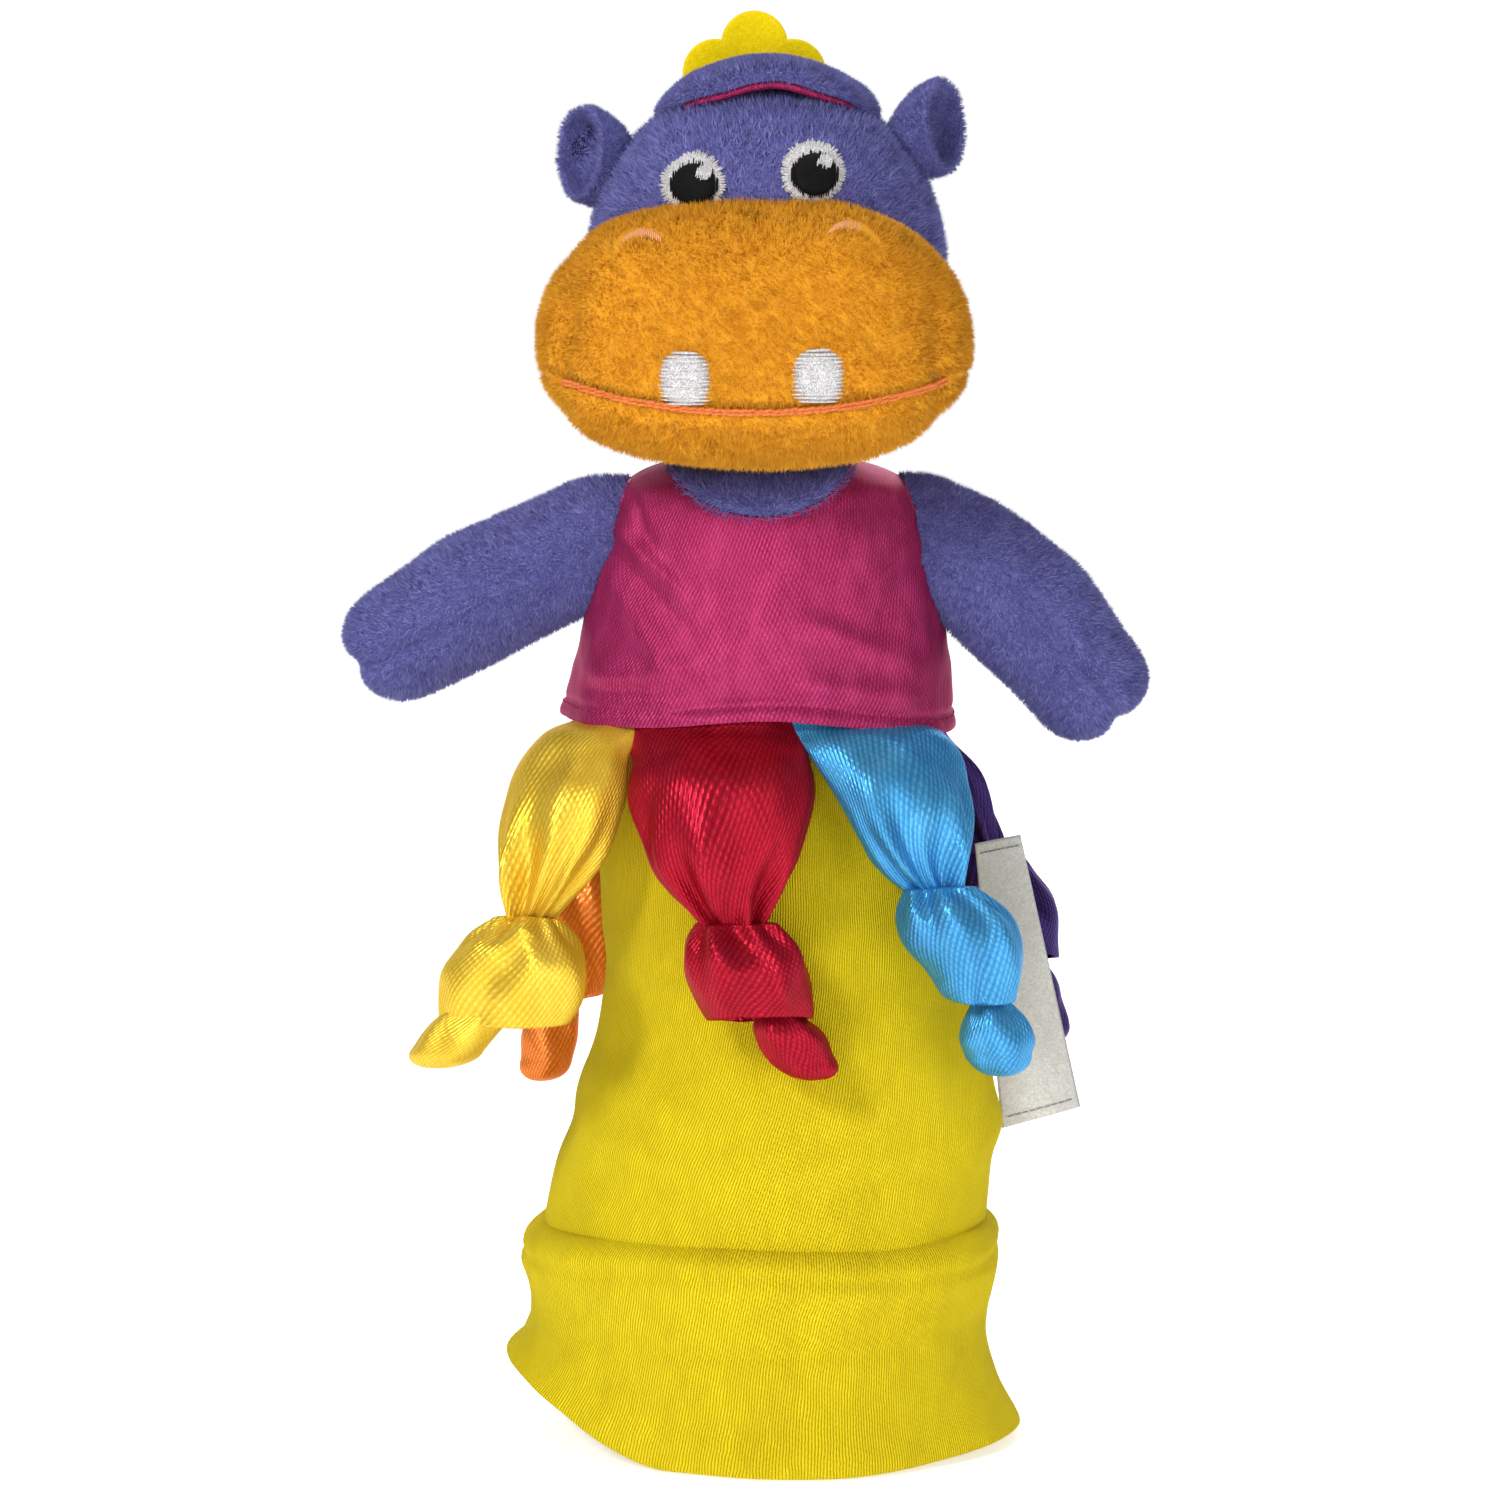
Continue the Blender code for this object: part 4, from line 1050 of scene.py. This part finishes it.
def head_bare(points, _):
    keep = ~in_form(points, SNOUT, -0.6) & (points[:, 2] > 209.8)
    for _, x, z in EYES:
        near = np.hypot((points[:, 0] - x) / (EYE - 0.2), (points[:, 2] - z) / (EYE - 0.2)) < 1
        keep &= ~(near & (points[:, 1] < 0))
    under_hat = np.hypot(points[:, 0] - HAT[0], points[:, 1] - HAT[1]) < HAT_RADIUS * 0.72
    return keep & ~(under_hat & (points[:, 2] > 262))


head = ball("head_plush_skin", 128, 96, head_shape, violet_plush)
cut_below(head, 209.5)
head_pile = grow_pile("head_pile", head, 62000, 1.9, violet_pile, 13, head_bare, (0, -0.05, 0.25), 0.55)
give_wall(head, 2.0)
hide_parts("head_cover")
for piece in (head, head_pile):
    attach(piece, "head")


def mouth_z(x):
    return MOUTH[0] + MOUTH[1] * ((x - SNOUT[0][0]) / MOUTH[2]) ** 2


def snout_relief(surface):
    """How far the stuffed snout stands off its plain form: seams pull in, cheeks and nostrils swell."""
    x, y, z = surface.T
    ahead = step(-y, 20, 34)
    mouth = -2.4 * hump(z - mouth_z(x), 1.7) * step(-y, 26, 40)
    chin = -1.6 * step(mouth_z(x) - z, 0, 9)
    creases = -1.9 * hump(x + 35.5 - 0.10 * (z - 232), 2.6) * hump(z - 233, 13) * step(-y, 14, 26)
    creases = creases - 1.9 * hump(x - 37.0 + 0.06 * (z - 226), 2.6) * hump(z - 226, 14) * step(-y, 14, 26)
    nostrils = 0.0
    for _, nx, nz, _ in NOSTRILS:
        nostrils = nostrils + 2.0 * hump(np.hypot(x - nx, (z - nz + 3.5) * 1.15), 9)
        nostrils = nostrils - 0.9 * hump(np.hypot((x - nx) * 0.55, z - nz - 1.0), 2.4)
    cheeks = 1.1 * hump(np.hypot(x + 24, z - 226), 15) + 1.1 * hump(np.hypot(x - 26, z - 226), 15)
    return mouth + chin + creases + nostrils * ahead + cheeks * ahead


def snout_shape(points):
    surface = swollen(points, SNOUT)
    out = unit((surface - np.array(SNOUT[0])) / np.array(SNOUT[1]) ** 1.2)
    return surface + out * (snout_relief(surface) + lumps(surface, 12, 10) * 0.6)[:, None]


def snout_front(x, z, lift=0.0):
    x, z = np.asarray(x, float), np.asarray(z, float)
    y = front(SNOUT, x, z)
    surface = np.stack([np.atleast_1d(x), np.atleast_1d(y), np.atleast_1d(z)], 1)
    return np.atleast_1d(y) - snout_relief(surface) - lumps(surface, 12, 10) * 0.6 - lift


def snout_bare(points, normals):
    x, y, z = points.T
    keep = ~in_form(points, HEAD, -1.0)
    for _, tx, tz in TEETH:
        keep &= ~(((np.abs(x - tx) / TOOTH[0]) ** 3.2 + (np.abs(z - tz) / TOOTH[1]) ** 3.2 < 0.95) & (y < -30))
    for _, nx, nz, slope in NOSTRILS:
        share = (x - nx) / 4.6
        arc = nz + 2.0 * (1 - share**2) + slope * share
        keep &= ~((np.abs(share) < 1.05) & (np.abs(z - arc) < 0.9) & (y < -25))
    return keep & ~((np.abs(z - mouth_z(x)) < 0.6) & (y < -24))


snout = ball("snout_plush_skin", 176, 128, snout_shape, orange_plush)
snout_pile = grow_pile("snout_pile", snout, 60000, 1.7, orange_pile, 14, snout_bare, (0, -0.1, -0.2), 0.55)
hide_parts("snout_upper", "snout_chin")
for piece in (snout, snout_pile):
    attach(piece, "head")

# ---------------------------------------------------------------- stitched face

draw = random.Random(5)


def ahead_of(surface, x, z, lift):
    return (x, float(np.atleast_1d(surface(np.array([x]), np.array([z])))[0]) - lift, z)


def underlay(name, surface, outline, lift, finish, rings=6):
    """A padded ground under satin stitch, crowned in the middle, from an outline of (x, z) points."""
    outline = np.array(outline)
    middle = outline.mean(0)
    points = [ahead_of(surface, *middle, lift + 0.5)]
    faces = []
    count = len(outline)
    for ring in range(1, rings + 1):
        share = ring / rings
        for x, z in middle + (outline - middle) * share:
            sunk = 1.6 if ring == rings else 0
            points.append(ahead_of(surface, x, z, lift + 0.5 * (1 - share**3) - sunk))
    for i in range(count):
        j = (i + 1) % count
        faces.append((0, 1 + j, 1 + i))
        for ring in range(rings - 1):
            low, high = 1 + ring * count, 1 + (ring + 1) * count
            faces.append((low + i, low + j, high + j, high + i))
    piece = built(name, points, faces, finish)
    finish_with(piece, "SOLIDIFY", thickness=0.0004, offset=-1)
    turn_outwards(piece)
    return piece


def oval_outline(x, z, half_x, half_z, power=2.0, count=32):
    points = []
    for i in range(count):
        t = math.tau * i / count
        c, s = math.cos(t), math.sin(t)
        size = (abs(c) ** power + abs(s) ** power) ** (-1 / power)
        points.append((x + half_x * c * size, z + half_z * s * size))
    return points


TOWARDS_FACE = (0, -1, 0)


def stitch(surface, start, end, lifts, thick):
    """A stitch between two (x, z) places on the face, standing off it by two lifts."""
    ends = [ahead_of(surface, *place, lift) for place, lift in zip((start, end), lifts)]
    return (*ends, TOWARDS_FACE, thick)


def spread(count):
    """Even shares from -1 to 1."""
    return [(i + 0.5) / count * 2 - 1 for i in range(count)]


def sew_eye(side, x, z):
    """A ring of white satin stitch with ragged ends, a black pupil and a white glint."""
    outline = oval_outline(x, z, EYE - 0.5, EYE - 0.5)
    white = underlay(f"eye_ground_{side}", head_front, outline, 0.9, white_thread)
    stitches = []
    count = 88
    for i in range(count):
        t = math.tau * i / count
        way = (math.cos(t), math.sin(t))
        near, far = PUPIL - draw.uniform(0.1, 0.9), EYE + draw.uniform(-0.35, 0.35)
        twist = draw.uniform(-0.03, 0.03)
        start = (x + near * way[0], z + near * way[1])
        end = (x + far * math.cos(t + twist), z + far * math.sin(t + twist))
        stitches.append(stitch(head_front, start, end, (1.5, 1.0), 0.27))
    ring = sew(f"eye_ring_{side}", stitches, white_thread)
    white = joined([white, ring], f"eye_white_thread_{side}")

    px, pz = x + 0.3, z - 0.4
    outline = oval_outline(px, pz, PUPIL - 0.5, PUPIL - 0.5)
    black = underlay(f"pupil_ground_{side}", head_front, outline, 1.9, black_thread)
    stitches = []
    for share in spread(21):
        aside = share * PUPIL
        half = PUPIL * math.sqrt(max(1 - share * share, 0)) * draw.uniform(0.82, 1.08) + 0.12
        start, end = (px + aside, pz - half), (px + aside + draw.uniform(-0.15, 0.15), pz + half)
        stitches.append(stitch(head_front, start, end, (2.1, 2.1), 0.27))
    rows_ = sew(f"pupil_rows_{side}", stitches, black_thread)
    black = joined([black, rows_], f"pupil_thread_{side}")

    gx, gz = x + 2.3, z + 2.0
    stitches = []
    for share in spread(8):
        half = 1.5 * math.sqrt(1 - share * share) * draw.uniform(0.85, 1.25) + 0.2
        across = share * 1.5
        start, end = (gx + across - 0.25 * half, gz - half), (gx + across + 0.25 * half, gz + half)
        stitches.append(stitch(head_front, start, end, (2.75, 2.6), 0.26))
    glint = sew(f"eye_glint_thread_{side}", stitches, white_thread)
    for piece, node, slot in (
        (white, f"eye_white_{side}", "white_thread"), (black, f"pupil_{side}", "black_thread"),
        (glint, f"eye_glint_{side}", "white_thread"),
    ):
        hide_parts(node)
        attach(piece, "head")


for side, x, z in EYES:
    sew_eye(side, x, z)


def sew_tooth(side, x, z):
    """Level rows of white satin stitch, rounded at the top."""
    outline = oval_outline(x, z, TOOTH[0] - 0.4, TOOTH[1] - 0.3, 3.0)
    ground = underlay(f"tooth_ground_{side}", snout_front, outline, 0.35, white_thread)
    stitches = []
    for share in spread(14):
        power = 2.6 if share > 0 else 5.0
        half = TOOTH[0] * (1 - abs(share) ** power) ** (1 / power) * draw.uniform(0.95, 1.03)
        level = z + share * TOOTH[1]
        slope, lift = draw.uniform(-0.16, 0.16), draw.uniform(1.0, 1.3)
        start, end = (x - half, level - slope), (x + half, level + slope)
        stitches.append(stitch(snout_front, start, end, (lift, lift), 0.31))
    rows_ = sew(f"tooth_rows_{side}", stitches, white_thread, flatten=1.0)
    tooth = joined([ground, rows_], f"tooth_thread_{side}")
    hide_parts(f"tooth_{side}")
    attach(tooth, "head")


for side, x, z in TEETH:
    sew_tooth(side, x, z)

for side, x, z, slope in NOSTRILS:
    stitches = []
    for share in spread(24):
        tilt = 0.35 - 0.5 * share
        half = 1.05 * (1 - 0.4 * share * share) * draw.uniform(0.75, 1.2)
        middle_x, middle_z = x + 4.6 * share, z + 2.0 * (1 - share * share) + slope * share
        start, end = (middle_x - tilt * half, middle_z - half), (middle_x + tilt * half, middle_z + half)
        stitches.append(stitch(snout_front, start, end, (1.5, 1.5), 0.2))
    nostril = sew(f"nostril_thread_{side}", stitches, salmon_thread, 6)
    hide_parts(f"nostril_{side}")
    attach(nostril, "head")

stitches = []
for share in spread(46):
    x = SNOUT[0][0] + 37.6 * share
    for strand in (-0.34, 0.34):
        level = strand + draw.uniform(-0.12, 0.12)
        start = (x - 1.2, mouth_z(x - 1.2) + level - 0.25)
        end = (x + 1.2, mouth_z(x + 1.2) + level + 0.25)
        stitches.append(stitch(snout_front, start, end, (1.0, 1.0), 0.42))
mouth = sew("mouth_thread_line", stitches, mouth_thread)
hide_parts("mouth_stitch")
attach(mouth, "head")

# ---------------------------------------------------------------- ears


def make_ear(side, middle, lean, outwards, turned):
    """A plush cup that opens outwards and forwards, its foot drawn into the head."""
    facing = unit(np.array((outwards * turned, -math.sqrt(1 - turned**2), 0.12)))
    up = np.array((outwards * math.sin(math.radians(lean)), 0.0, math.cos(math.radians(lean))))
    up = unit(up - facing * (up @ facing))
    aside = np.cross(facing, up)
    root = np.array((-outwards * 12.0, 1.5, -4.5))

    def shape(points):
        ahead, high, wide = points @ facing, points @ up, points @ aside
        back = np.clip(-ahead, 0, 1)
        ring = 1 - 0.42 * step(back, 0.2, 1.0)
        place = np.outer(high * 9.2 * ring, up) + np.outer(wide * 7.6 * ring * (1 + 0.1 * high), aside)
        place += np.outer(np.clip(ahead, 0, 1) * 3.0, facing) + np.outer(back, root)
        # The cup, with one soft fold down its middle.
        cup = step(ahead, 0.25, 0.9)
        place -= np.outer(cup * (6.6 + 1.2 * hump(wide - 0.15, 0.25)), facing)
        place += np.array(middle)
        return place + unit(points) * (lumps(place, 6, 12) * 0.5)[:, None]

    skin = ball(f"ear_{side}_skin", 64, 48, shape, violet_plush)
    rim = grow_pile(
        f"ear_{side}_pile", skin, 15000, 1.3, violet_pile, 15 + outwards,
        lambda p, n: ~in_form(p, HEAD, -1.0), (outwards * 0.2, -0.1, 0.2), 0.3, 0.14,
    )
    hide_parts(f"ear_{side}")
    for piece in (skin, rim):
        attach(piece, f"ear_{side}")


for ear in EARS:
    make_ear(*ear)

# ---------------------------------------------------------------- hat and flower


def hat_disc(u, v, profile, sag=0.0):
    turn = angle_of(u)
    share, height = eased(profile, v).T
    reach = HAT_RADIUS * share
    x, y = HAT[0] + reach * np.cos(turn), HAT[1] + reach * np.sin(turn) * 0.84
    z = HAT[2] - 3.0 + height - hat_droop(x, y) - sag
    points = np.stack([x, y, z], 1)
    edge = step(share, 0.5, 1.0)
    points[:, 2] += lumps(points, 9, 13) * 0.7 * edge
    return points


def hat_shape(u, v):
    profile = (
        (0.0, 0.0, 2.6), (0.3, 0.5, 2.7), (0.5, 0.84, 3.0), (0.62, 0.99, 2.6), (0.7, 1.06, 1.2),
        (0.78, 1.04, -0.3), (0.86, 0.94, -0.9), (0.93, 0.6, -0.5), (1.0, 0.0, -0.3),
    )
    return hat_disc(u, v, profile)


hat = cloth("hat_plush_skin", 96, 48, hat_shape, (134, 50), violet_plush)
hat_pile = grow_pile("hat_pile", hat, 34000, 1.7, violet_pile, 18, lambda p, n: n[:, 2] > -0.6, (0, -0.2, -0.2))
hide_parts("hat_top")
for piece in (hat, hat_pile):
    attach(piece, "head")


def lining_shape(u, v):
    """A satin band under the hat's edge, gathered a little, turned in against the head."""
    profile = (
        (0.0, 0.2, -0.5), (0.3, 0.8, -0.6), (0.45, 1.0, -0.8), (0.55, 1.03, -1.2), (0.7, 1.02, -2.1),
        (0.78, 0.98, -2.5), (0.9, 0.8, -2.2), (1.0, 0.2, -1.8),
    )
    points = hat_disc(u, v, profile)
    turn = angle_of(u)
    out = outward(turn)
    return points + out * (0.28 * np.sin(turn * 38) * step(v, 0.4, 0.6) * (1 - step(v, 0.75, 0.9)))[:, None]


lining = cloth("hat_satin_band", 220, 28, lining_shape, (134, 20), magenta_satin)
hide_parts("hat_lining")
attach(lining, "head")


def flower_edge(turn):
    """The outline's reach at an angle from straight up: five round petals."""
    petal = math.tau / 5
    aside = (turn + petal / 2) % petal - petal / 2
    out, radius = 8.4, 6.9
    return out * np.cos(aside) + np.sqrt(np.clip(radius**2 - (out * np.sin(aside)) ** 2, 0, None))


def flower_shape(u, v):
    """Round the felt's front face, its soft edge and its back face."""
    profile = (
        (0.0, 0.0, -1.0), (0.3, 0.55, -1.05), (0.42, 0.93, -1.0), (0.47, 0.985, -0.7), (0.5, 1.0, 0.0),
        (0.53, 0.985, 0.7), (0.58, 0.93, 1.0), (0.7, 0.55, 1.05), (1.0, 0.0, 1.0),
    )
    share, depth = eased(profile, v).T
    turn = math.tau * u
    reach = flower_edge(turn) * share
    points = np.stack(
        [FLOWER[0] + reach * np.sin(turn), FLOWER[1] + depth, FLOWER[2] + reach * np.cos(turn)], 1
    )
    points[:, 1] += 1.4 * (np.cos(turn * 5) * 0.5 - 0.2) * share**2 + lumps(points, 8, 14) * 0.5
    return points


flower = cloth("flower_felt", 240, 44, flower_shape, (30, 30), yellow_felt)
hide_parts("hat_flower")
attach(flower, "head")

# ---------------------------------------------------------------- arms


def outside_body(points, _=None):
    """Where an arm stands out of the vest."""
    x, a, b = eased(VEST, np.clip(points[:, 2], 146, 203.4)).T
    return ((points[:, 0] - x) / (a - 1.2)) ** 2 + (points[:, 1] / (b - 1.2)) ** 2 > 1


def make_arm(side, hinge, stations):
    """A stuffed arm that comes out of the vest's armhole and ends in a notched hoof."""
    hinge = np.array(hinge, float)
    away = -1.0 if side == "left" else 1.0
    table = spaced(stations)
    ahead = np.array((0.0, 1.0, 0.0))
    tip_way = unit(table[-1, 1:4] - table[-2, 1:4])

    def shape(u, v):
        turn = math.tau * u
        at = np.clip(v / 0.74, 0, 1)
        cap = np.clip((v - 0.74) / 0.26, 0, 1) * math.pi / 2
        x, y, z, high, deep = eased(table, at).T
        middle = np.stack([x, y, z], 1)
        way = unit(eased(table, np.clip(at + 0.04, 0, 1)) - eased(table, np.clip(at - 0.04, 0, 1)))[:, :3]
        way = unit(way)
        across = unit(np.cross(ahead, way))
        # A blunt end, whose two toes stand a little apart above and below the notch.
        middle = middle + tip_way * (np.sin(cap) * 11.5)[:, None]
        blunt = np.clip(np.cos(cap), 0, 1) ** 0.62
        c, s = np.cos(turn), np.sin(turn)
        points = middle + across * (high * blunt * c)[:, None] + ahead * (deep * blunt * s)[:, None]
        notch = hump(c * blunt - 0.05, 0.2) * step(v, 0.8, 0.97)
        points -= tip_way * (notch * 1.5)[:, None]
        seam = hump(c + 0.12, 0.13) * step(v, 0.42, 0.75) * np.clip(-s, 0, 1)
        out = across * c[:, None] + ahead * s[:, None]
        points -= out * (seam * 0.9 * blunt)[:, None]
        return points + out * (lumps(points, 13, 15) * 0.9 * blunt)[:, None]

    skin = cloth(f"arm_{side}_skin", 80, 96, shape, (74, 62), violet_plush)
    pile = grow_pile(
        f"arm_{side}_pile", skin, 38000, 1.5, violet_pile, 20 + int(away), outside_body, tuple(tip_way * 0.5), 0.35
    )
    give_wall(skin, 2.0)
    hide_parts(f"arm_{side}_cover")
    start, end = hinge - np.array((away * 12.0, 0, 0)), hinge + tip_way * 3.0
    for piece in (skin, pile):
        spot(*start)
        spot(*end)
        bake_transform(piece)


for arm in ARMS:
    make_arm(*arm)

# ---------------------------------------------------------------- ribbons


def make_ribbon(colour, seed):
    """A satin ribbon from the hem: a puffed length, gathered, then a loose knot's loop and a round tail."""
    top_out, low_out, puffed, looped, tailed = RIBBONS[colour]
    top_out, low_out = unit(np.array((*top_out, 0.0))), unit(np.array((*low_out, 0.0)))

    def along(stations, share, turned):
        """Middle, half width, half depth, and the ways across and out, at shares of a line of stations."""
        table = spaced(stations)
        values = eased(table, share)
        way = eased(table, np.clip(share + 0.05, 0, 1)) - eased(table, np.clip(share - 0.05, 0, 1))
        way = unit(way[:, :3])
        facing = unit(top_out * (1 - turned)[:, None] + low_out * turned[:, None])
        across = unit(np.stack([-facing[:, 1], facing[:, 0], 0 * turned], 1))
        return values[:, :3], values[:, 3], values[:, 4], across, unit(np.cross(way, across))

    def around(parts, turn, swell=1.0, pleats=0.0, count=9, shift=0.0):
        """Points round the line; pleats fold the cloth in and out, most on its faces."""
        middle, wide, deep, across, thick = parts
        c, s = np.cos(turn), np.sin(turn)
        fold = 1 + pleats * (
            0.55 * np.cos(turn * count + shift + seed) + 0.45 * np.cos(turn * (count - 4) - shift + seed * 2)
        )
        face = np.sign(c) * np.abs(c) ** 0.85
        return (
            middle + across * (wide * swell * face * (1 + (fold - 1) * 0.35))[:, None]
            + thick * (deep * swell * s * fold)[:, None]
        )

    def rumple(points, parts, turn, height, size, stretch=0.5):
        """Soft dents, longer down the cloth than across it."""
        across, thick = parts[3], parts[4]
        outward = across * np.cos(turn)[:, None] + thick * np.sin(turn)[:, None]
        return points + outward * (lumps(points * np.array((1, 1, stretch)), size, seed) * height)[:, None]

    def puff(u, v):
        turn = math.tau * u
        share = np.clip(v / 0.97, 0, 1)
        parts = along(puffed, share, step(share, 0.3, 1.0))
        gather = step(share, 0.5, 0.98)
        ending = np.clip((1 - v) / 0.03, 0, 1) ** 0.5
        points = around(parts, turn, ending, 0.05 + 0.5 * gather, 9, 1.2 * np.sin(share * 4))
        # The top follows the vest's oval.
        reach = np.cos(turn) * parts[1]
        points -= top_out * (reach**2 / 68 * (1 - step(share, 0.25, 0.8)))[:, None]
        return rumple(points, parts, turn, 1.5 * step(share, 0.2, 0.45) * ending, 8.5)

    def loop(u, v):
        """From the gather, flared, its open end turned back inside."""
        turn = math.tau * u
        share = np.interp(v, (0, 0.06, 0.74, 0.80, 1.0), (0.0, 0.02, 1.0, 0.97, 0.45))
        inside = step(v, 0.74, 0.82)
        ending = eased(((0.0, 0.6), (0.03, 0.9), (0.07, 1.0), (0.74, 1.0), (0.8, 0.9), (1.0, 0.3)), v)[:, 0]
        parts = along(looped, share, 0 * share + 1)
        gather = 1 - step(share, 0.0, 0.55)
        points = around(parts, turn, ending, 0.04 + 0.34 * gather, 8, share * 2.5)
        points[:, 2] += 1.7 * np.cos(turn + seed * 2.3) * step(share, 0.6, 1.0)
        # One slanting fold across the front.
        slant = np.cos(turn) + 0.9 * (share - 0.5) + 0.2 * math.sin(seed * 5)
        crease = -1.5 * hump(slant, 0.22) * np.abs(np.sin(turn)) * (1 - inside) * step(share, 0.1, 0.3)
        points += parts[4] * (crease * np.sin(turn))[:, None]
        return rumple(points, parts, turn, 1.5 * (1 - inside) * step(v, 0.05, 0.2), 7.5, 0.7)

    def tail(u, v):
        turn = math.tau * u
        share = np.clip(v / 0.66, 0, 1)
        cap = np.clip((v - 0.66) / 0.34, 0, 1) * math.pi / 2
        parts = along(tailed, share, 0 * share + 1)
        round_ = np.clip(np.cos(cap), 0, 1) ** 0.8 * eased(((0.0, 0.5), (0.2, 0.9), (0.4, 1.0), (1.0, 1.0)), v)[:, 0]
        points = around(parts, turn, round_, 0.10 + 0.1 * (1 - share), 5, share * 1.5)
        way = unit(np.array(tailed[-1][:3], float) - np.array(tailed[-2][:3], float))
        points += way * (np.sin(cap) * 4.6)[:, None]
        return rumple(points, parts, turn, 0.9 * np.cos(cap), 5.5, 0.8)

    satin = ribbon_satins[colour]

    def girth(station):
        return math.tau * math.sqrt((station[3] ** 2 + station[4] ** 2) / 2)

    parts = [
        cloth(f"{colour}_puff", 120, 90, puff, (girth(puffed[3]), 46), satin),
        cloth(f"{colour}_loop", 110, 80, loop, (girth(looped[1]), 40), satin),
        cloth(f"{colour}_tail", 72, 60, tail, (girth(tailed[1]), 22), satin),
    ]
    ribbon = joined(parts, f"ribbon_{colour}_satin")
    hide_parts(f"ribbon_{colour}")
    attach(ribbon, f"ribbon_{colour}")


for seed, colour in enumerate(RIBBONS):
    make_ribbon(colour, 0.7 + seed * 1.37)

# ---------------------------------------------------------------- side label


def label_shape(u, v):
    """Two leaves of one folded tape, a little bowed, with its fold on the outer edge."""
    top_in, top_out, low_out, low_in = (np.array(c) for c in LABEL_CORNERS)
    leaf = np.where(u < 0.5, -1.0, 1.0)
    width = 1 - np.abs(u * 2 - 1)
    inner = top_in + (low_in - top_in) * v[:, None]
    outer = top_out + (low_out - top_out) * v[:, None]
    flat = inner + (outer - inner) * width[:, None]
    bow = 1.1 * np.sin(math.pi * v) * width + 0.7 * np.sin(v * 5 + 1) * width**2
    gap = leaf * 0.34 * np.sqrt(np.clip(1 - width**6, 0, 1))
    return np.stack([flat[:, 0], LABEL_Y - bow + gap, flat[:, 1]], 1)


label = cloth("label_tape_leaf", 48, 90, label_shape, (34, 60), label_tape)
give_wall(label, 0.22)
stitches = []
for v in (0.035, 0.965):
    for i in range(9):
        u = (0.08 + 0.84 * (i + 0.5) / 9) / 2
        start, end = label_shape(np.array([u - 0.022, u + 0.022]), np.array([v, v])) + np.array((0, -0.12, 0))
        stitches.append((start, end, TOWARDS_FACE, 0.16))
grey_thread = make_thread("grey_thread", (0.16, 0.16, 0.16), (0.32, 0.32, 0.32))
label_stitches = sew("label_stitches", stitches, grey_thread, 6)
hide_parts("side_label")
for piece in (label, label_stitches):
    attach(piece, "label")

# ---------------------------------------------------------------- what stays from the frame

for name in ("head_stuffing", "finger_pocket", "snout_stuffing", "arm_left_stuffing", "arm_right_stuffing"):
    node = frame["nodes"][name]
    node.data.materials.clear()
    node.data.materials.append(wadding)

# ---------------------------------------------------------------- studio


def floor_shape(u, v):
    """A pale sheet that runs back and rises behind the puppet."""
    x = (u - 0.5) * 9000
    along = v * 9000 - 3000
    radius = 1500
    bent = np.clip((along - 2200) / radius, 0, math.pi / 2)
    straight = np.clip(along - 2200 - radius * math.pi / 2, 0, None)
    y = np.minimum(along, 2200) + radius * np.sin(bent)
    z = radius * (1 - np.cos(bent)) + straight
    return np.stack([x, y, z], 1)


floor = cloth("studio_floor", 20, 60, floor_shape, (1, 1), make_floor("pale_floor", (0.93, 0.93, 0.93)))

world = bpy.data.worlds.new("studio")
world.use_nodes = True
background = world.node_tree.nodes["Background"]
background.inputs["Color"].default_value = (1, 1, 1, 1)
background.inputs["Strength"].default_value = 0.30
bpy.context.scene.world = world


CHEST = spot(0, 0, 170)


def add_light(name, place, size, power):
    light = bpy.data.lights.new(name, "AREA")
    light.shape = "DISK"
    light.size = size
    light.energy = power
    thing = put_in_scene(name, light)
    thing.location = place
    thing.rotation_euler = (CHEST - Vector(place)).to_track_quat("-Z", "Y").to_euler()


add_light("key", (-0.75, -1.05, 1.0), 0.34, 12)
add_light("fill", (0.9, -1.1, 0.35), 0.8, 4)
add_light("low", (-0.1, -1.2, 0.05), 0.6, 4.4)
add_light("top", (0.0, 0.25, 1.3), 0.8, 5)
add_light("rim", (0.3, 1.2, 0.8), 0.7, 4)

camera = bpy.data.cameras.new("camera")
camera.sensor_width = 36
camera.lens = 117.4
camera.clip_start = 0.05
view = put_in_scene("camera", camera)
eye = spot(0, -1000, 273)
view.location = eye
view.rotation_euler = (spot(0, 0, 143) - eye).to_track_quat("-Z", "Y").to_euler()
bpy.context.scene.camera = view
bpy.context.scene.view_settings.view_transform = "Standard"
